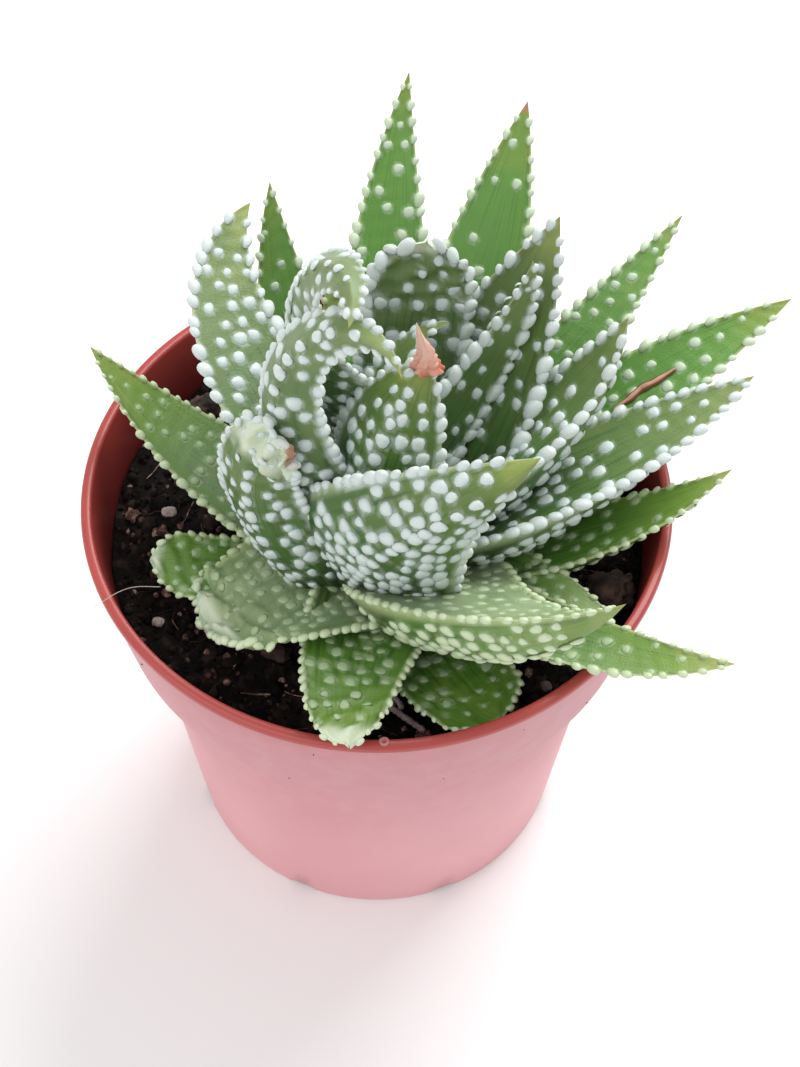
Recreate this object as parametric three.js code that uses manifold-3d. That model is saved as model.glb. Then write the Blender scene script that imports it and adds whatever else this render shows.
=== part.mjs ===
// Potted haworthia in a 10.5 cm terracotta-coloured nursery pot.
// Millimetres, +Z up. The origin is the middle of the pot's flat base, +X is right and -Y is front.
// The leaves' white tubercles are a relief here, raised from each leaf by a formula, larger than life.

import * as THREE from 'three';
import { mergeVertices } from 'three/addons/utils/BufferGeometryUtils.js';
import Module from 'manifold-3d';

const wasm = await Module();
wasm.setup();

// Pot: driving dimensions
const RIM_RADIUS = 52.5;
const POT_HEIGHT = 88.5;
const BEAD_HEIGHT = 2.2;
const BEAD_PROUD = 0.6;
const LIP_WIDTH = 1.9;
const COLLAR_DEPTH = 23.7;
const COLLAR_FOOT_RADIUS = 48;
const BODY_TOP_RADIUS = 43.7;
const BASE_RADIUS = 36.7;
const WALL = 1.2;
const FLOOR = 1.6;
const POT_SIDES = 48;
const NOTCHES = 8;
const NOTCH_WIDTH = 5;
const NOTCH_HEIGHT = 1.8;
const NOTCH_DEPTH = 3.5;
const EDGE = 0.5;
const FILLET = 0.8;

// Soil and plant: driving dimensions
const SOIL_TOP = 75.5;
const SOIL_BUMP = 1.1;
const SOIL_RINGS = [44, 35, 25, 12];
const GAP = 0.3;
const STEM_X = 4.5;
const STEM_Y = -11;
const STEM_RADIUS = 8;
const STEM_FOOT = 66;
const STEM_TOP = 105;
const STEM_SIDES = 12;

// Leaf skins: rings along the spine, sides round the section, and the share of a leaf's full width
// that its root has. A leaf that bends less than PLAIN_BEND degrees gets CHORD_ROOM more clearance
const LEAF_RINGS = 18;
const LEAF_SIDES = 8;
const SPINE_STEPS = 60;
const RING_CROWDING = 1.2;
const ROOT_WIDTH = 0.8;
const ROOT_THICKNESS = 0.85;
const TOP_SWELL = 0.12;
const KEEL_POWER = 1.4;
const BLUNT_POWER = 20;
const PLAIN_BEND = 90;
const CHORD_ROOM = 0.25;
const TUBERCLE = 0.9;
const TOP_TUBERCLE = 0.6;
const WELD = 0.01;

const RAD = Math.PI / 180;

// Finishes
const potPlastic = new THREE.MeshStandardMaterial({ color: 0xc4655c, roughness: 0.45, metalness: 0 });
const soilDark = new THREE.MeshStandardMaterial({ color: 0x2a211d, roughness: 0.95, metalness: 0 });
const leafGreen = new THREE.MeshStandardMaterial({ color: 0x5f8a45, roughness: 0.5, metalness: 0 });
const driedTan = new THREE.MeshStandardMaterial({ color: 0xc9826a, roughness: 0.8, metalness: 0 });
const barkBrown = new THREE.MeshStandardMaterial({ color: 0x4a3128, roughness: 0.9, metalness: 0 });
const perliteWhite = new THREE.MeshStandardMaterial({ color: 0xe2dbd3, roughness: 0.9, metalness: 0 });

const plant = new THREE.Group();

// Helpers

function randomFrom(seed) {
  let state = seed;
  return () => {
    state = (state * 1664525 + 1013904223) % 4294967296;
    return state / 4294967296;
  };
}

function smooth(x) {
  const c = Math.min(Math.max(x, 0), 1);
  return c * c * (3 - 2 * c);
}

function mix(a, b, t) {
  return a + (b - a) * t;
}

// A geometry with only its corners, shared ones merged and slivers dropped
function corners(geometry) {
  const bare = geometry.clone();
  bare.deleteAttribute('normal');
  bare.deleteAttribute('uv');
  const merged = mergeVertices(bare, WELD);
  const kept = [];
  const index = merged.index.array;
  for (let i = 0; i < index.length; i += 3) {
    const [a, b, c] = [index[i], index[i + 1], index[i + 2]];
    if (a !== b && b !== c && c !== a) kept.push(a, b, c);
  }
  merged.setIndex(kept);
  return merged;
}

function solidOf(geometry) {
  const bare = corners(geometry);
  const solidWith = (index) => new wasm.Manifold(new wasm.Mesh({
    numProp: 3,
    vertProperties: new Float32Array(bare.attributes.position.array),
    triVerts: new Uint32Array(index),
  }));
  const solid = solidWith(bare.index.array);
  return solid.volume() > 0 ? solid : solidWith(Array.from(bare.index.array).reverse());
}

function geometryOf(solid) {
  const mesh = solid.getMesh();
  const geometry = new THREE.BufferGeometry();
  const places = new Float32Array(mesh.vertProperties);
  geometry.setAttribute('position', new THREE.BufferAttribute(places, 3));
  geometry.setIndex(Array.from(mesh.triVerts));
  return corners(geometry);
}

// The largest piece that a cut leaves
function largest(solid) {
  const pieces = solid.decompose();
  pieces.sort((a, b) => b.volume() - a.volume());
  return pieces[0];
}

function place(name, geometry, material) {
  const shaded = geometry.index ? geometry.toNonIndexed() : geometry;
  shaded.computeVertexNormals();
  const mesh = new THREE.Mesh(shaded, material);
  mesh.name = name;
  plant.add(mesh);
  return mesh;
}

// A closed skin over rings of equal length, its two ends drawn in to a point each
function ringSkin(start, rings, end) {
  const sides = rings[0].length;
  const points = [start, ...rings.flat(), end];
  const last = points.length - 1;
  const index = [];
  for (let j = 0; j < sides; j += 1) {
    const k = (j + 1) % sides;
    index.push(0, 1 + k, 1 + j);
    index.push(last, last - sides + j, last - sides + k);
    for (let i = 0; i < rings.length - 1; i += 1) {
      const a = 1 + i * sides;
      const b = a + sides;
      if ((i + j) % 2 === 0) {
        index.push(a + j, a + k, b + k, a + j, b + k, b + j);
      } else {
        index.push(a + j, a + k, b + j, a + k, b + k, b + j);
      }
    }
  }
  const geometry = new THREE.BufferGeometry();
  const places = points.flatMap((p) => [p.x, p.y, p.z]);
  geometry.setAttribute('position', new THREE.Float32BufferAttribute(places, 3));
  geometry.setIndex(index);
  return geometry;
}

// A turned body about the Z axis, from (radius, height) pairs
function turned(profile, sides) {
  const points = profile.map(([radius, height]) => new THREE.Vector2(radius, height));
  const geometry = new THREE.LatheGeometry(points, sides);
  geometry.rotateX(Math.PI / 2);
  return geometry;
}

// Pot: a beaded rim, a tapered collar, a step in, and a tapered body on a flat base

const collarFoot = POT_HEIGHT - COLLAR_DEPTH;
const rimInner = RIM_RADIUS - LIP_WIDTH;
const innerStep = collarFoot + WALL;
const innerWall = [
  [BASE_RADIUS - WALL, FLOOR],
  [BODY_TOP_RADIUS - WALL, innerStep - EDGE],
  [COLLAR_FOOT_RADIUS - WALL, innerStep],
  [rimInner, POT_HEIGHT - EDGE],
];

function makePot() {
  const profile = [
    [0, 0],
    [BASE_RADIUS - FILLET, 0],
    [BASE_RADIUS, FILLET],
    [BODY_TOP_RADIUS, collarFoot - 2 * FILLET],
    [BODY_TOP_RADIUS + EDGE, collarFoot - EDGE],
    [COLLAR_FOOT_RADIUS - FILLET, collarFoot],
    [COLLAR_FOOT_RADIUS, collarFoot + FILLET],
    [RIM_RADIUS - BEAD_PROUD, POT_HEIGHT - BEAD_HEIGHT - BEAD_PROUD],
    [RIM_RADIUS, POT_HEIGHT - BEAD_HEIGHT],
    [RIM_RADIUS, POT_HEIGHT - EDGE],
    [RIM_RADIUS - EDGE, POT_HEIGHT],
    [rimInner + EDGE, POT_HEIGHT],
    ...innerWall.toReversed(),
    [0, FLOOR],
  ];
  let pot = solidOf(turned(profile, POT_SIDES));
  for (let i = 0; i < NOTCHES; i += 1) {
    const notch = new THREE.BoxGeometry(NOTCH_DEPTH * 2, NOTCH_WIDTH, NOTCH_HEIGHT * 2);
    notch.translate(BASE_RADIUS, 0, 0);
    notch.rotateZ((i + 0.5) * 2 * Math.PI / NOTCHES);
    pot = pot.subtract(solidOf(notch));
  }
  return pot;
}

// Leaves: a spine that rises, sweeps and rolls, and a section with a flat top and a keeled underside
// turn: degrees round the stem, 0 right, 90 back. root: height of the root. length: along the spine
// rise: slope at the root and at the tip. riseLate: how late it changes. sweep: how far the turn
// drifts on the way. roll: twist at the root and at the tip. width, thick: across and to the keel.
// taper: how long the leaf stays wide. blunt: share of a rounded end. cup: hollow of the top face.
// reach: from the stem's axis to the root, in the direction at, or else along turn
const leafDefaults = {
  riseLate: 1.3,
  sweep: 0,
  sweepLate: 1.5,
  roll: [0, 0],
  taper: 2,
  blunt: 0,
  cup: 0.12,
  reach: 4,
};

const leaves = [
  // young leaves in the heart
  {
    name: 'leaf_10', turn: 114, root: 101, length: 33, width: 10, thick: 3,
    rise: [58, 10], sweep: -110,
  },
  {
    name: 'leaf_08', turn: -124, at: -150, root: 101, length: 33, width: 19, thick: 6,
    rise: [87, 142], sweep: -16, roll: [-4, 30], taper: 4,
  },
  {
    name: 'leaf_09', turn: 90, root: 96, length: 46, width: 19, thick: 5,
    rise: [29, 76], sweep: -22, roll: [3, 20], blunt: 0.9,
  },
  {
    name: 'leaf_11', turn: 54, at: 95, reach: 3.1, root: 100.6, length: 48, width: 13.4, thick: 5,
    rise: [23, 93], riseLate: 2, sweep: -25, roll: [60, 80],
  },
  // leaves that curl over the heart
  {
    name: 'leaf_07', turn: 195, at: 161, reach: 8.2, root: 89.5, length: 77.5, width: 16.8, thick: 5,
    rise: [67, 203], riseLate: 2.54, sweep: -85, sweepLate: 2.8, roll: [34, 60],
  },
  {
    name: 'leaf_06', turn: 164, at: 108, reach: 8, root: 104, length: 66, width: 18, thick: 4,
    rise: [54, 202], riseLate: 2.1, sweep: -89, sweepLate: 3, roll: [100, 1], taper: 2.4,
  },
  // broad leaves round the front of the heart
  {
    name: 'leaf_21', turn: -73, at: -130, reach: 8, root: 89, length: 51, width: 34, thick: 7,
    rise: [79, 9], riseLate: 1.43, sweep: 104, sweepLate: 1, roll: [-53, -119], taper: 1.6, cup: 0,
  },
  {
    name: 'leaf_22', turn: 177, at: 207, reach: 11.5, root: 80.5, length: 51, width: 16, thick: 5,
    rise: [58, 171], riseLate: 3.2, sweep: -50, sweepLate: 2.5, roll: [59, 99], taper: 2.5,
    blunt: 0.74,
  },
  // right and back, above the rim
  {
    name: 'leaf_12', turn: 56, at: 66, reach: 5.5, root: 91.6, length: 57.5, width: 27, thick: 7,
    rise: [31, 66], sweep: -8, roll: [0, 8], taper: 2.2, cup: 0.3,
  },
  {
    name: 'leaf_15', turn: 27, root: 97, length: 49, width: 24, thick: 8,
    rise: [13, 62], riseLate: 1.5, sweep: 14, roll: [-36, -15],
  },
  {
    name: 'leaf_02', turn: 148, root: 88, length: 70, width: 23, thick: 7,
    rise: [38, 11], sweep: -92, sweepLate: 2, roll: [2, 26], taper: 2.6,
  },
  {
    name: 'leaf_16', turn: 19, at: -6, reach: 3.8, root: 89.4, length: 64.5, width: 27, thick: 8,
    rise: [15, 16], sweep: 10, roll: [-36, -2],
  },
  {
    name: 'leaf_05', turn: 72, root: 87, length: 79, width: 23, thick: 6,
    rise: [31, 33], sweep: 2, roll: [-17, -7], taper: 2.6,
  },
  {
    name: 'leaf_04', turn: 97, root: 87, length: 83, width: 21, thick: 6,
    rise: [24, 38], sweep: -19,
  },
  {
    name: 'leaf_03', turn: 123, root: 85, length: 69, width: 18, thick: 5,
    rise: [13, 56], riseLate: 1.4, sweep: -28, taper: 2.2,
  },
  {
    name: 'leaf_13', turn: 47, root: 86, length: 76, width: 18, thick: 6,
    rise: [21, 20], sweep: 4, roll: [4, 3],
  },
  {
    name: 'leaf_14', turn: 28, at: 57, reach: 6.4, root: 80.8, length: 79, width: 24, thick: 6,
    rise: [26, 14], roll: [-28, 13], taper: 2.2,
  },
  // low leaves over the soil and the rim
  {
    name: 'leaf_18', turn: -18, root: 82, length: 36, width: 17, thick: 5,
    rise: [20, -10], sweep: -8,
  },
  {
    name: 'leaf_19', turn: -69, root: 85, length: 54, width: 30, thick: 9,
    rise: [37, 23], sweep: 81, roll: [-1, -60],
  },
  {
    name: 'leaf_23', turn: -152, root: 84, length: 34, width: 34, thick: 7,
    rise: [11, -6], roll: [10, 30], blunt: 0.85,
  },
  {
    name: 'leaf_17', turn: 3, root: 82, length: 58, width: 18, thick: 6,
    rise: [5, 45], sweep: 8, roll: [-22, 0],
  },
  {
    name: 'leaf_01', turn: 153, root: 81, length: 66, width: 23, thick: 6,
    rise: [1, 55], riseLate: 1.5, sweep: -2, roll: [5, 12], taper: 2.4,
  },
  {
    name: 'leaf_20', turn: -43, root: 86.5, length: 61, width: 17, thick: 5,
    rise: [9, 14], sweep: 38, roll: [-35, 12], taper: 2.2,
  },
  {
    name: 'leaf_24', turn: -110, root: 83, length: 43, width: 23, thick: 6,
    rise: [19, 9], sweep: 27, roll: [-10, 4], taper: 1.8, blunt: 0.4,
  },
  {
    name: 'leaf_25', turn: -76, root: 79.3, length: 34.2, width: 20, thick: 5,
    rise: [9, 5], sweep: 39, roll: [7, -17], blunt: 1,
  },
  {
    name: 'leaf_26', turn: 184, root: 78.5, length: 41, width: 15, thick: 4,
    rise: [-3, 24], sweep: -4, blunt: 0.9,
  },
  // low leaves behind, under the others
  {
    name: 'leaf_27', turn: 107, root: 80, length: 56, width: 17, thick: 5,
    rise: [8, 30], sweep: -6,
  },
  {
    name: 'leaf_28', turn: 62, root: 80, length: 44, width: 15, thick: 5,
    rise: [6, 22], sweep: 6,
  },
].map((leaf) => ({ ...leafDefaults, ...leaf }));

// Points and axes along the spine, at SPINE_STEPS + 1 even steps
function spineOf(leaf) {
  const at = (leaf.at ?? leaf.turn) * RAD;
  const step = leaf.length / SPINE_STEPS;
  const centre = new THREE.Vector3(
    STEM_X + leaf.reach * Math.cos(at),
    STEM_Y + leaf.reach * Math.sin(at),
    leaf.root,
  );
  const stations = [];
  let before = null;
  for (let i = 0; i <= SPINE_STEPS; i += 1) {
    const t = i / SPINE_STEPS;
    const pitch = mix(leaf.rise[0], leaf.rise[1], t ** leaf.riseLate) * RAD;
    const yaw = (leaf.turn + leaf.sweep * t ** leaf.sweepLate) * RAD;
    const roll = mix(leaf.roll[0], leaf.roll[1], t) * RAD;
    const along = new THREE.Vector3(
      Math.cos(pitch) * Math.cos(yaw),
      Math.cos(pitch) * Math.sin(yaw),
      Math.sin(pitch),
    );
    const left = new THREE.Vector3(-Math.sin(yaw), Math.cos(yaw), 0);
    const up = along.clone().cross(left);
    if (before) centre.addScaledVector(before, step / 2).addScaledVector(along, step / 2);
    before = along;
    const side = left.clone().multiplyScalar(Math.cos(roll)).addScaledVector(up, Math.sin(roll));
    const top = up.clone().multiplyScalar(Math.cos(roll)).addScaledVector(left, -Math.sin(roll));
    stations.push({ centre: centre.clone(), along, side, top });
  }
  return stations;
}

function halfWidth(leaf, t) {
  const body = (1 - leaf.blunt) * (1 - t ** leaf.taper) + leaf.blunt * (1 - t ** BLUNT_POWER);
  return leaf.width / 2 * mix(ROOT_WIDTH, 1, smooth(t / 0.25)) * body;
}

function keelDepth(leaf, t) {
  return leaf.thick * (1 - t ** 3) * mix(ROOT_THICKNESS, 1, smooth(t / 0.3));
}

// How far the tubercles stand out at t: none at the root, smaller to the tip
function tubercleHeight(leaf, t) {
  const fade = smooth((t - 0.12) / 0.12) * (1 - 0.6 * t);
  return Math.min(TUBERCLE * fade, 0.3 * halfWidth(leaf, t));
}

// A point of the section at t, as across and out from the spine, at an angle from the left margin.
// Its top is nearly flat and its underside is keeled; lift raises it along the section's normal
function sectionPoint(leaf, t, angle, lift) {
  const w = halfWidth(leaf, t);
  const d = keelDepth(leaf, t);
  const c = Math.cos(angle);
  const s = Math.sin(angle);
  const normal = new THREE.Vector2(c * d, s * w).normalize();
  const face = s > 0 ? TOP_SWELL * d * s : -d * Math.abs(s) ** KEEL_POWER;
  const section = new THREE.Vector2(w * c, face + leaf.cup * w * c * c);
  return section.addScaledVector(normal, lift);
}

// The leaf's skin. With a sleeve, a plain skin that clears every tubercle by that much
function leafSkin(leaf, sleeve, ringCount) {
  const spine = spineOf(leaf);
  const rings = [];
  for (let i = 0; i < ringCount; i += 1) {
    const t = 1 - (1 - i / ringCount) ** RING_CROWDING;
    const { centre, along, side, top } = spine[Math.round(t * SPINE_STEPS)];
    const middle = centre.clone().addScaledVector(along, i === 0 ? -sleeve : 0);
    const ring = [];
    for (let j = 0; j < LEAF_SIDES; j += 1) {
      const angle = j / LEAF_SIDES * 2 * Math.PI;
      const onTop = j > 0 && j < LEAF_SIDES / 2;
      const raised = sleeve > 0 || (i + j) % 2 === 0;
      const height = tubercleHeight(leaf, t) * (onTop && sleeve === 0 ? TOP_TUBERCLE : 1);
      const point = sectionPoint(leaf, t, angle, sleeve + (raised ? height : 0));
      const brim = j % (LEAF_SIDES / 2) === 0 ? sleeve : 0;
      point.add(new THREE.Vector2(brim * Math.sign(point.x), brim));
      ring.push(middle.clone().addScaledVector(side, point.x).addScaledVector(top, point.y));
    }
    rings.push(ring);
  }
  const root = spine[0];
  const start = root.centre.clone().addScaledVector(root.top, -0.3 * keelDepth(leaf, 0));
  start.addScaledVector(root.along, -sleeve);
  const tip = spine[SPINE_STEPS];
  const end = tip.centre.clone().addScaledVector(tip.along, sleeve);
  return ringSkin(start, rings, end);
}

// Room that a leaf takes: a plain skin round it, with half the rings where the leaf is nearly flat
function leafRoom(leaf) {
  const bend = Math.abs(leaf.rise[1] - leaf.rise[0]) + Math.abs(leaf.sweep);
  const flat = bend < PLAIN_BEND && leaf.cup === leafDefaults.cup;
  if (flat) return solidOf(leafSkin(leaf, GAP + CHORD_ROOM, LEAF_RINGS / 2));
  return solidOf(leafSkin(leaf, GAP, LEAF_RINGS));
}

// Stem: a short thick column that the leaves' roots crowd round

function stemSkin(extra) {
  const waist = mix(STEM_FOOT, STEM_TOP, 0.6);
  return turned([
    [0, STEM_FOOT - extra],
    [STEM_RADIUS - 2 + extra, STEM_FOOT - extra],
    [STEM_RADIUS + extra, SOIL_TOP],
    [STEM_RADIUS - 1 + extra, waist],
    [STEM_RADIUS / 2 + extra, STEM_TOP - 3],
    [0, STEM_TOP + extra],
  ], STEM_SIDES).translate(STEM_X, STEM_Y, 0);
}

// Small things on the soil: lumps of bark and perlite, and dried roots

const LUMP_ROUGHNESS = 0.18;

const lumps = [
  { name: 'bark_lump', at: [41.5, -14, 78.5], size: [4.6, 4.2, 3.6], material: barkBrown },
  { name: 'bark_chip', at: [-17, -27, 77], size: [3.2, 2.0, 1.4], material: barkBrown },
  { name: 'bark_chunk_back', at: [-33, 27, 77.5], size: [3.6, 3.0, 2.4], material: barkBrown },
  { name: 'perlite_left', at: [-38, 3, 77], size: [1.8, 1.5, 1.3], material: perliteWhite },
  { name: 'perlite_front', at: [-38, -21, 77], size: [1.6, 1.4, 1.2], material: perliteWhite },
  { name: 'perlite_right', at: [30, -33, 77], size: [1.5, 1.4, 1.2], material: perliteWhite },
];

function lumpSkin(lump, extra, random) {
  const geometry = corners(new THREE.IcosahedronGeometry(1, 1));
  const position = geometry.attributes.position;
  const [sx, sy, sz] = lump.size;
  for (let i = 0; i < position.count; i += 1) {
    const rough = mix(1 - LUMP_ROUGHNESS, 1 + LUMP_ROUGHNESS, random());
    position.setXYZ(
      i,
      position.getX(i) * (sx * rough + extra),
      position.getY(i) * (sy * rough + extra),
      position.getZ(i) * (sz * rough + extra),
    );
  }
  return geometry.translate(...lump.at);
}

const ROOT_SIDES = 6;
const ROOT_STEPS = 8;
const roots = [
  {
    name: 'dried_root_front',
    radius: 0.55,
    points: [[0.5, -39.2, 77.2], [2.8, -38.5, 78.2], [5.6, -40.2, 77.8], [9, -42.4, 77.1]],
  },
  {
    name: 'dried_root_short',
    radius: 0.5,
    points: [[2.4, -34.8, 78.6], [3.3, -36.4, 79], [4.6, -37.6, 78.4], [5, -38.9, 78.9]],
  },
  {
    name: 'dried_root_right',
    radius: 0.45,
    points: [[33, -11.5, 75.6], [34.4, -8.6, 79], [33, -6.2, 80.4], [30.6, -5.2, 79.2]],
  },
];

function rootSkin(root, extra) {
  const radius = root.radius + extra;
  const outline = new THREE.Shape();
  for (let i = 0; i < ROOT_SIDES; i += 1) {
    const angle = i / ROOT_SIDES * 2 * Math.PI;
    const point = [radius * Math.cos(angle), radius * Math.sin(angle)];
    if (i === 0) {
      outline.moveTo(...point);
    } else {
      outline.lineTo(...point);
    }
  }
  outline.closePath();
  const path = new THREE.CatmullRomCurve3(root.points.map((p) => new THREE.Vector3(...p)));
  const options = { steps: ROOT_STEPS, bevelEnabled: false, extrudePath: path };
  return new THREE.ExtrudeGeometry(outline, options);
}

// Dried end of a leaf in the heart: a shrivelled curl that sheathes the leaf's tip
// Each row is the place of a ring from the curl's foot, x, y and z, and the ring's radius
const driedTipRings = [
  [0.4, 0, 0.2, 1.9],
  [0.3, 0.1, 2.2, 2.2],
  [0.2, 0.1, 4.2, 1.7],
  [-0.5, 0.6, 6.2, 1.1],
  [-1.2, 1.5, 8, 0.7],
];
const DRIED_TIP_BACK = 2.2;
const DRIED_TIP_FLAT = 0.6;
const DRIED_TIP_SIDES = 6;

function driedTipSkin(extra) {
  const tip = spineOf(leaves.find((leaf) => leaf.name === 'leaf_08')).at(-1);
  const foot = tip.centre.clone().addScaledVector(tip.along, -DRIED_TIP_BACK);
  const rings = driedTipRings.map(([x, y, z, size]) => Array.from({ length: DRIED_TIP_SIDES }, (_, j) => {
    const angle = j / DRIED_TIP_SIDES * 2 * Math.PI;
    const across = (size + extra) * Math.cos(angle);
    const deep = (size + extra) * DRIED_TIP_FLAT * Math.sin(angle);
    return foot.clone().add(new THREE.Vector3(x + across, y + deep, z));
  }));
  const start = foot.clone().add(new THREE.Vector3(0, 0, -extra));
  const end = foot.clone().add(new THREE.Vector3(-1.4, 2, 9.4 + extra));
  return ringSkin(start, rings, end);
}

// Soil: fills the pot to its inner wall, with a rough top

// Height of a crumb or a wave in the soil's top at x, y
function soilBump(x, y, random) {
  const wave = Math.sin(0.31 * x + 1) * Math.cos(0.27 * y) + 0.6 * Math.sin(0.55 * x - 0.4 * y);
  return SOIL_BUMP * (0.5 * wave + 0.9 * (random() - 0.5));
}

function soilRing(radius, height, random) {
  return Array.from({ length: POT_SIDES }, (_, j) => {
    const angle = j / POT_SIDES * 2 * Math.PI;
    const x = radius * Math.sin(angle);
    const y = -radius * Math.cos(angle);
    return new THREE.Vector3(x, y, height + (random ? soilBump(x, y, random) : 0));
  });
}

function soilSkin() {
  const random = randomFrom(7);
  const share = (SOIL_TOP - innerStep) / (POT_HEIGHT - EDGE - innerStep);
  const topRadius = mix(COLLAR_FOOT_RADIUS - WALL, rimInner, share);
  const rings = [
    soilRing(BASE_RADIUS - WALL - GAP, FLOOR + GAP),
    soilRing(BODY_TOP_RADIUS - WALL - GAP, innerStep - EDGE + GAP),
    soilRing(COLLAR_FOOT_RADIUS - WALL - GAP, innerStep + GAP),
    soilRing(topRadius - GAP, SOIL_TOP),
    ...SOIL_RINGS.map((radius) => soilRing(radius, SOIL_TOP, random)),
  ];
  const start = new THREE.Vector3(0, 0, FLOOR + GAP);
  const end = new THREE.Vector3(0, 0, SOIL_TOP);
  return ringSkin(start, rings, end);
}

// Build: each leaf gives way to those nearer the heart, and the soil to all that stands in it

place('pot', geometryOf(makePot()), potPlastic);

const stem = solidOf(stemSkin(0));
place('stem', geometryOf(stem), leafGreen);

const stemRoom = solidOf(stemSkin(GAP));
const tipRoom = solidOf(driedTipSkin(GAP));
place('dried_tip', geometryOf(solidOf(driedTipSkin(0))), driedTan);

let taken = stemRoom.add(tipRoom);
for (const leaf of leaves) {
  const whole = solidOf(leafSkin(leaf, 0, LEAF_RINGS));
  const trimmed = largest(whole.subtract(taken));
  place(leaf.name, geometryOf(trimmed), leafGreen);
  taken = taken.add(leafRoom(leaf));
}

let soil = solidOf(soilSkin()).subtract(taken);
for (const [seed, lump] of lumps.entries()) {
  place(lump.name, lumpSkin(lump, 0, randomFrom(seed)), lump.material);
  soil = soil.subtract(solidOf(lumpSkin(lump, GAP, randomFrom(seed))));
}
for (const root of roots) {
  place(root.name, geometryOf(solidOf(rootSkin(root, 0))), driedTan);
  soil = soil.subtract(solidOf(rootSkin(root, GAP)));
}
place('soil', geometryOf(largest(soil)), soilDark);

export default plant;
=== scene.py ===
# %% [markdown]
# # A potted haworthia
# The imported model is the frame: its pot, soil and leaves fix every size and place. This script
# dresses that frame. It works in millimetres from the middle of the pot's flat base, because that is
# how a grower would measure the plant, and turns them into metres only when a mesh is made.

# %% load the frame
import math

import bmesh
import bpy
import numpy as np
from mathutils import Matrix


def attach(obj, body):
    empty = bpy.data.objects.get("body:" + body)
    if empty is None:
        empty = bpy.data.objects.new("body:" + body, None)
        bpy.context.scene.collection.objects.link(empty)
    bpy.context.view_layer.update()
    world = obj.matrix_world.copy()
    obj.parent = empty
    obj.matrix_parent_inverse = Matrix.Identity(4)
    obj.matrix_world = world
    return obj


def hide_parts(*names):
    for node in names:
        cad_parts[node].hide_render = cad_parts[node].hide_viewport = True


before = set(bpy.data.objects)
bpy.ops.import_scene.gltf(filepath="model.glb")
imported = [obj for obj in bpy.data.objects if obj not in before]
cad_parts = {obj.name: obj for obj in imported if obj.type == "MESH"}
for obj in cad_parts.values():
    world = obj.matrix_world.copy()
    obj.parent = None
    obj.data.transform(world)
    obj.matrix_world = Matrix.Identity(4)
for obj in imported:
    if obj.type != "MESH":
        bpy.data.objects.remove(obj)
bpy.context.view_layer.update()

MM = 0.001
UP = np.array([0.0, 0, 1])
print("nodes in the frame:", len(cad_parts))

# %% [markdown]
# ## Meshes from arrays
# Every new piece is a surface worked out as a whole array of points. A grid of points becomes a grid
# of four-cornered faces, and many small copies of one shape become one array too. Numbers that follow
# the surface, such as how far along a leaf a point lies, are stored with the mesh as attributes, and
# the materials read them.

# %% mesh helpers
def smooth(x):
    """0 below 0, 1 above 1, and 3x^2 - 2x^3 between."""
    x = np.clip(x, 0, 1)
    return x * x * (3 - 2 * x)


def mix(a, b, share):
    """a where share is 0 and b where it is 1."""
    return a + (b - a) * share


def unit(vectors):
    """The vectors, each divided by its length."""
    return vectors / np.maximum(np.linalg.norm(vectors, axis=-1, keepdims=True), 1e-9)


def grid_faces(rows, columns):
    """Four-cornered faces of a grid whose rows are closed rings of points."""
    i = np.arange(rows - 1)[:, None]
    j = np.arange(columns)[None, :]
    k = (j + 1) % columns
    a, b = i * columns + j, i * columns + k
    return np.stack([a, b, b + columns, a + columns], -1).reshape(-1, 4)


def fan(centre, ring, turned=False):
    """Three-cornered faces from one point to a ring of points."""
    nxt = np.roll(ring, -1)
    pair = (nxt, ring) if turned else (ring, nxt)
    return np.stack([np.full(len(ring), centre), *pair], -1)


def capped_rings(rows, columns, turned=False):
    """Faces of rings of points, closed by a fan at each end. The two points that the fans meet in come
    after the last ring. Turned is for rings that run the other way."""
    ring, last = np.arange(columns), rows * columns
    sides = grid_faces(rows, columns)
    first_fan = fan(last, ring, not turned)
    return [sides[:, ::-1] if turned else sides, first_fan, fan(last + 1, ring + last - columns, turned)]


def circle(count):
    """Even angles round a circle."""
    return np.arange(count) / count * 2 * np.pi


def around(radius, height, angle, middle=(0, 0)):
    """Points at a radius and a height, turned from the front by an angle about an upright line."""
    x, y = middle[0] + radius * np.sin(angle), middle[1] - radius * np.cos(angle)
    return np.stack([x, y, np.broadcast_to(height, x.shape)], -1)


class Surface:
    """Points, faces and point attributes that grow part by part and become one mesh."""

    def __init__(self):
        self.points, self.faces, self.values, self.count = [], [], {}, 0

    def add(self, points, faces, **values):
        """Adds points (n, 3) in millimetres with their faces, and one value or n values of each kind."""
        points = np.asarray(points, float).reshape(-1, 3)
        self.points.append(points)
        self.faces += [np.asarray(f) + self.count for f in faces]
        for key, value in values.items():
            value = np.ravel(value) if np.ndim(value) else value
            self.values.setdefault(key, []).append(np.broadcast_to(value, len(points)))
        self.count += len(points)

    def mesh(self, name):
        """The mesh of all the parts, in metres, shaded smooth."""
        mesh = bpy.data.meshes.new(name)
        points = np.concatenate(self.points) * MM
        corners = np.concatenate([f.ravel() for f in self.faces])
        sizes = np.concatenate([np.full(len(f), f.shape[1]) for f in self.faces])
        mesh.vertices.add(len(points))
        mesh.vertices.foreach_set("co", points.astype(np.float32).ravel())
        mesh.loops.add(len(corners))
        mesh.loops.foreach_set("vertex_index", corners.astype(np.int32))
        mesh.polygons.add(len(sizes))
        mesh.polygons.foreach_set("loop_start", (np.cumsum(sizes) - sizes).astype(np.int32))
        mesh.polygons.foreach_set("use_smooth", np.ones(len(sizes), bool))
        for key, parts in self.values.items():
            layer = mesh.attributes.new(key, "FLOAT", "POINT")
            layer.data.foreach_set("value", np.concatenate(parts).astype(np.float32))
        mesh.update(calc_edges=True)
        mesh.validate()
        return mesh


made = []


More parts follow.
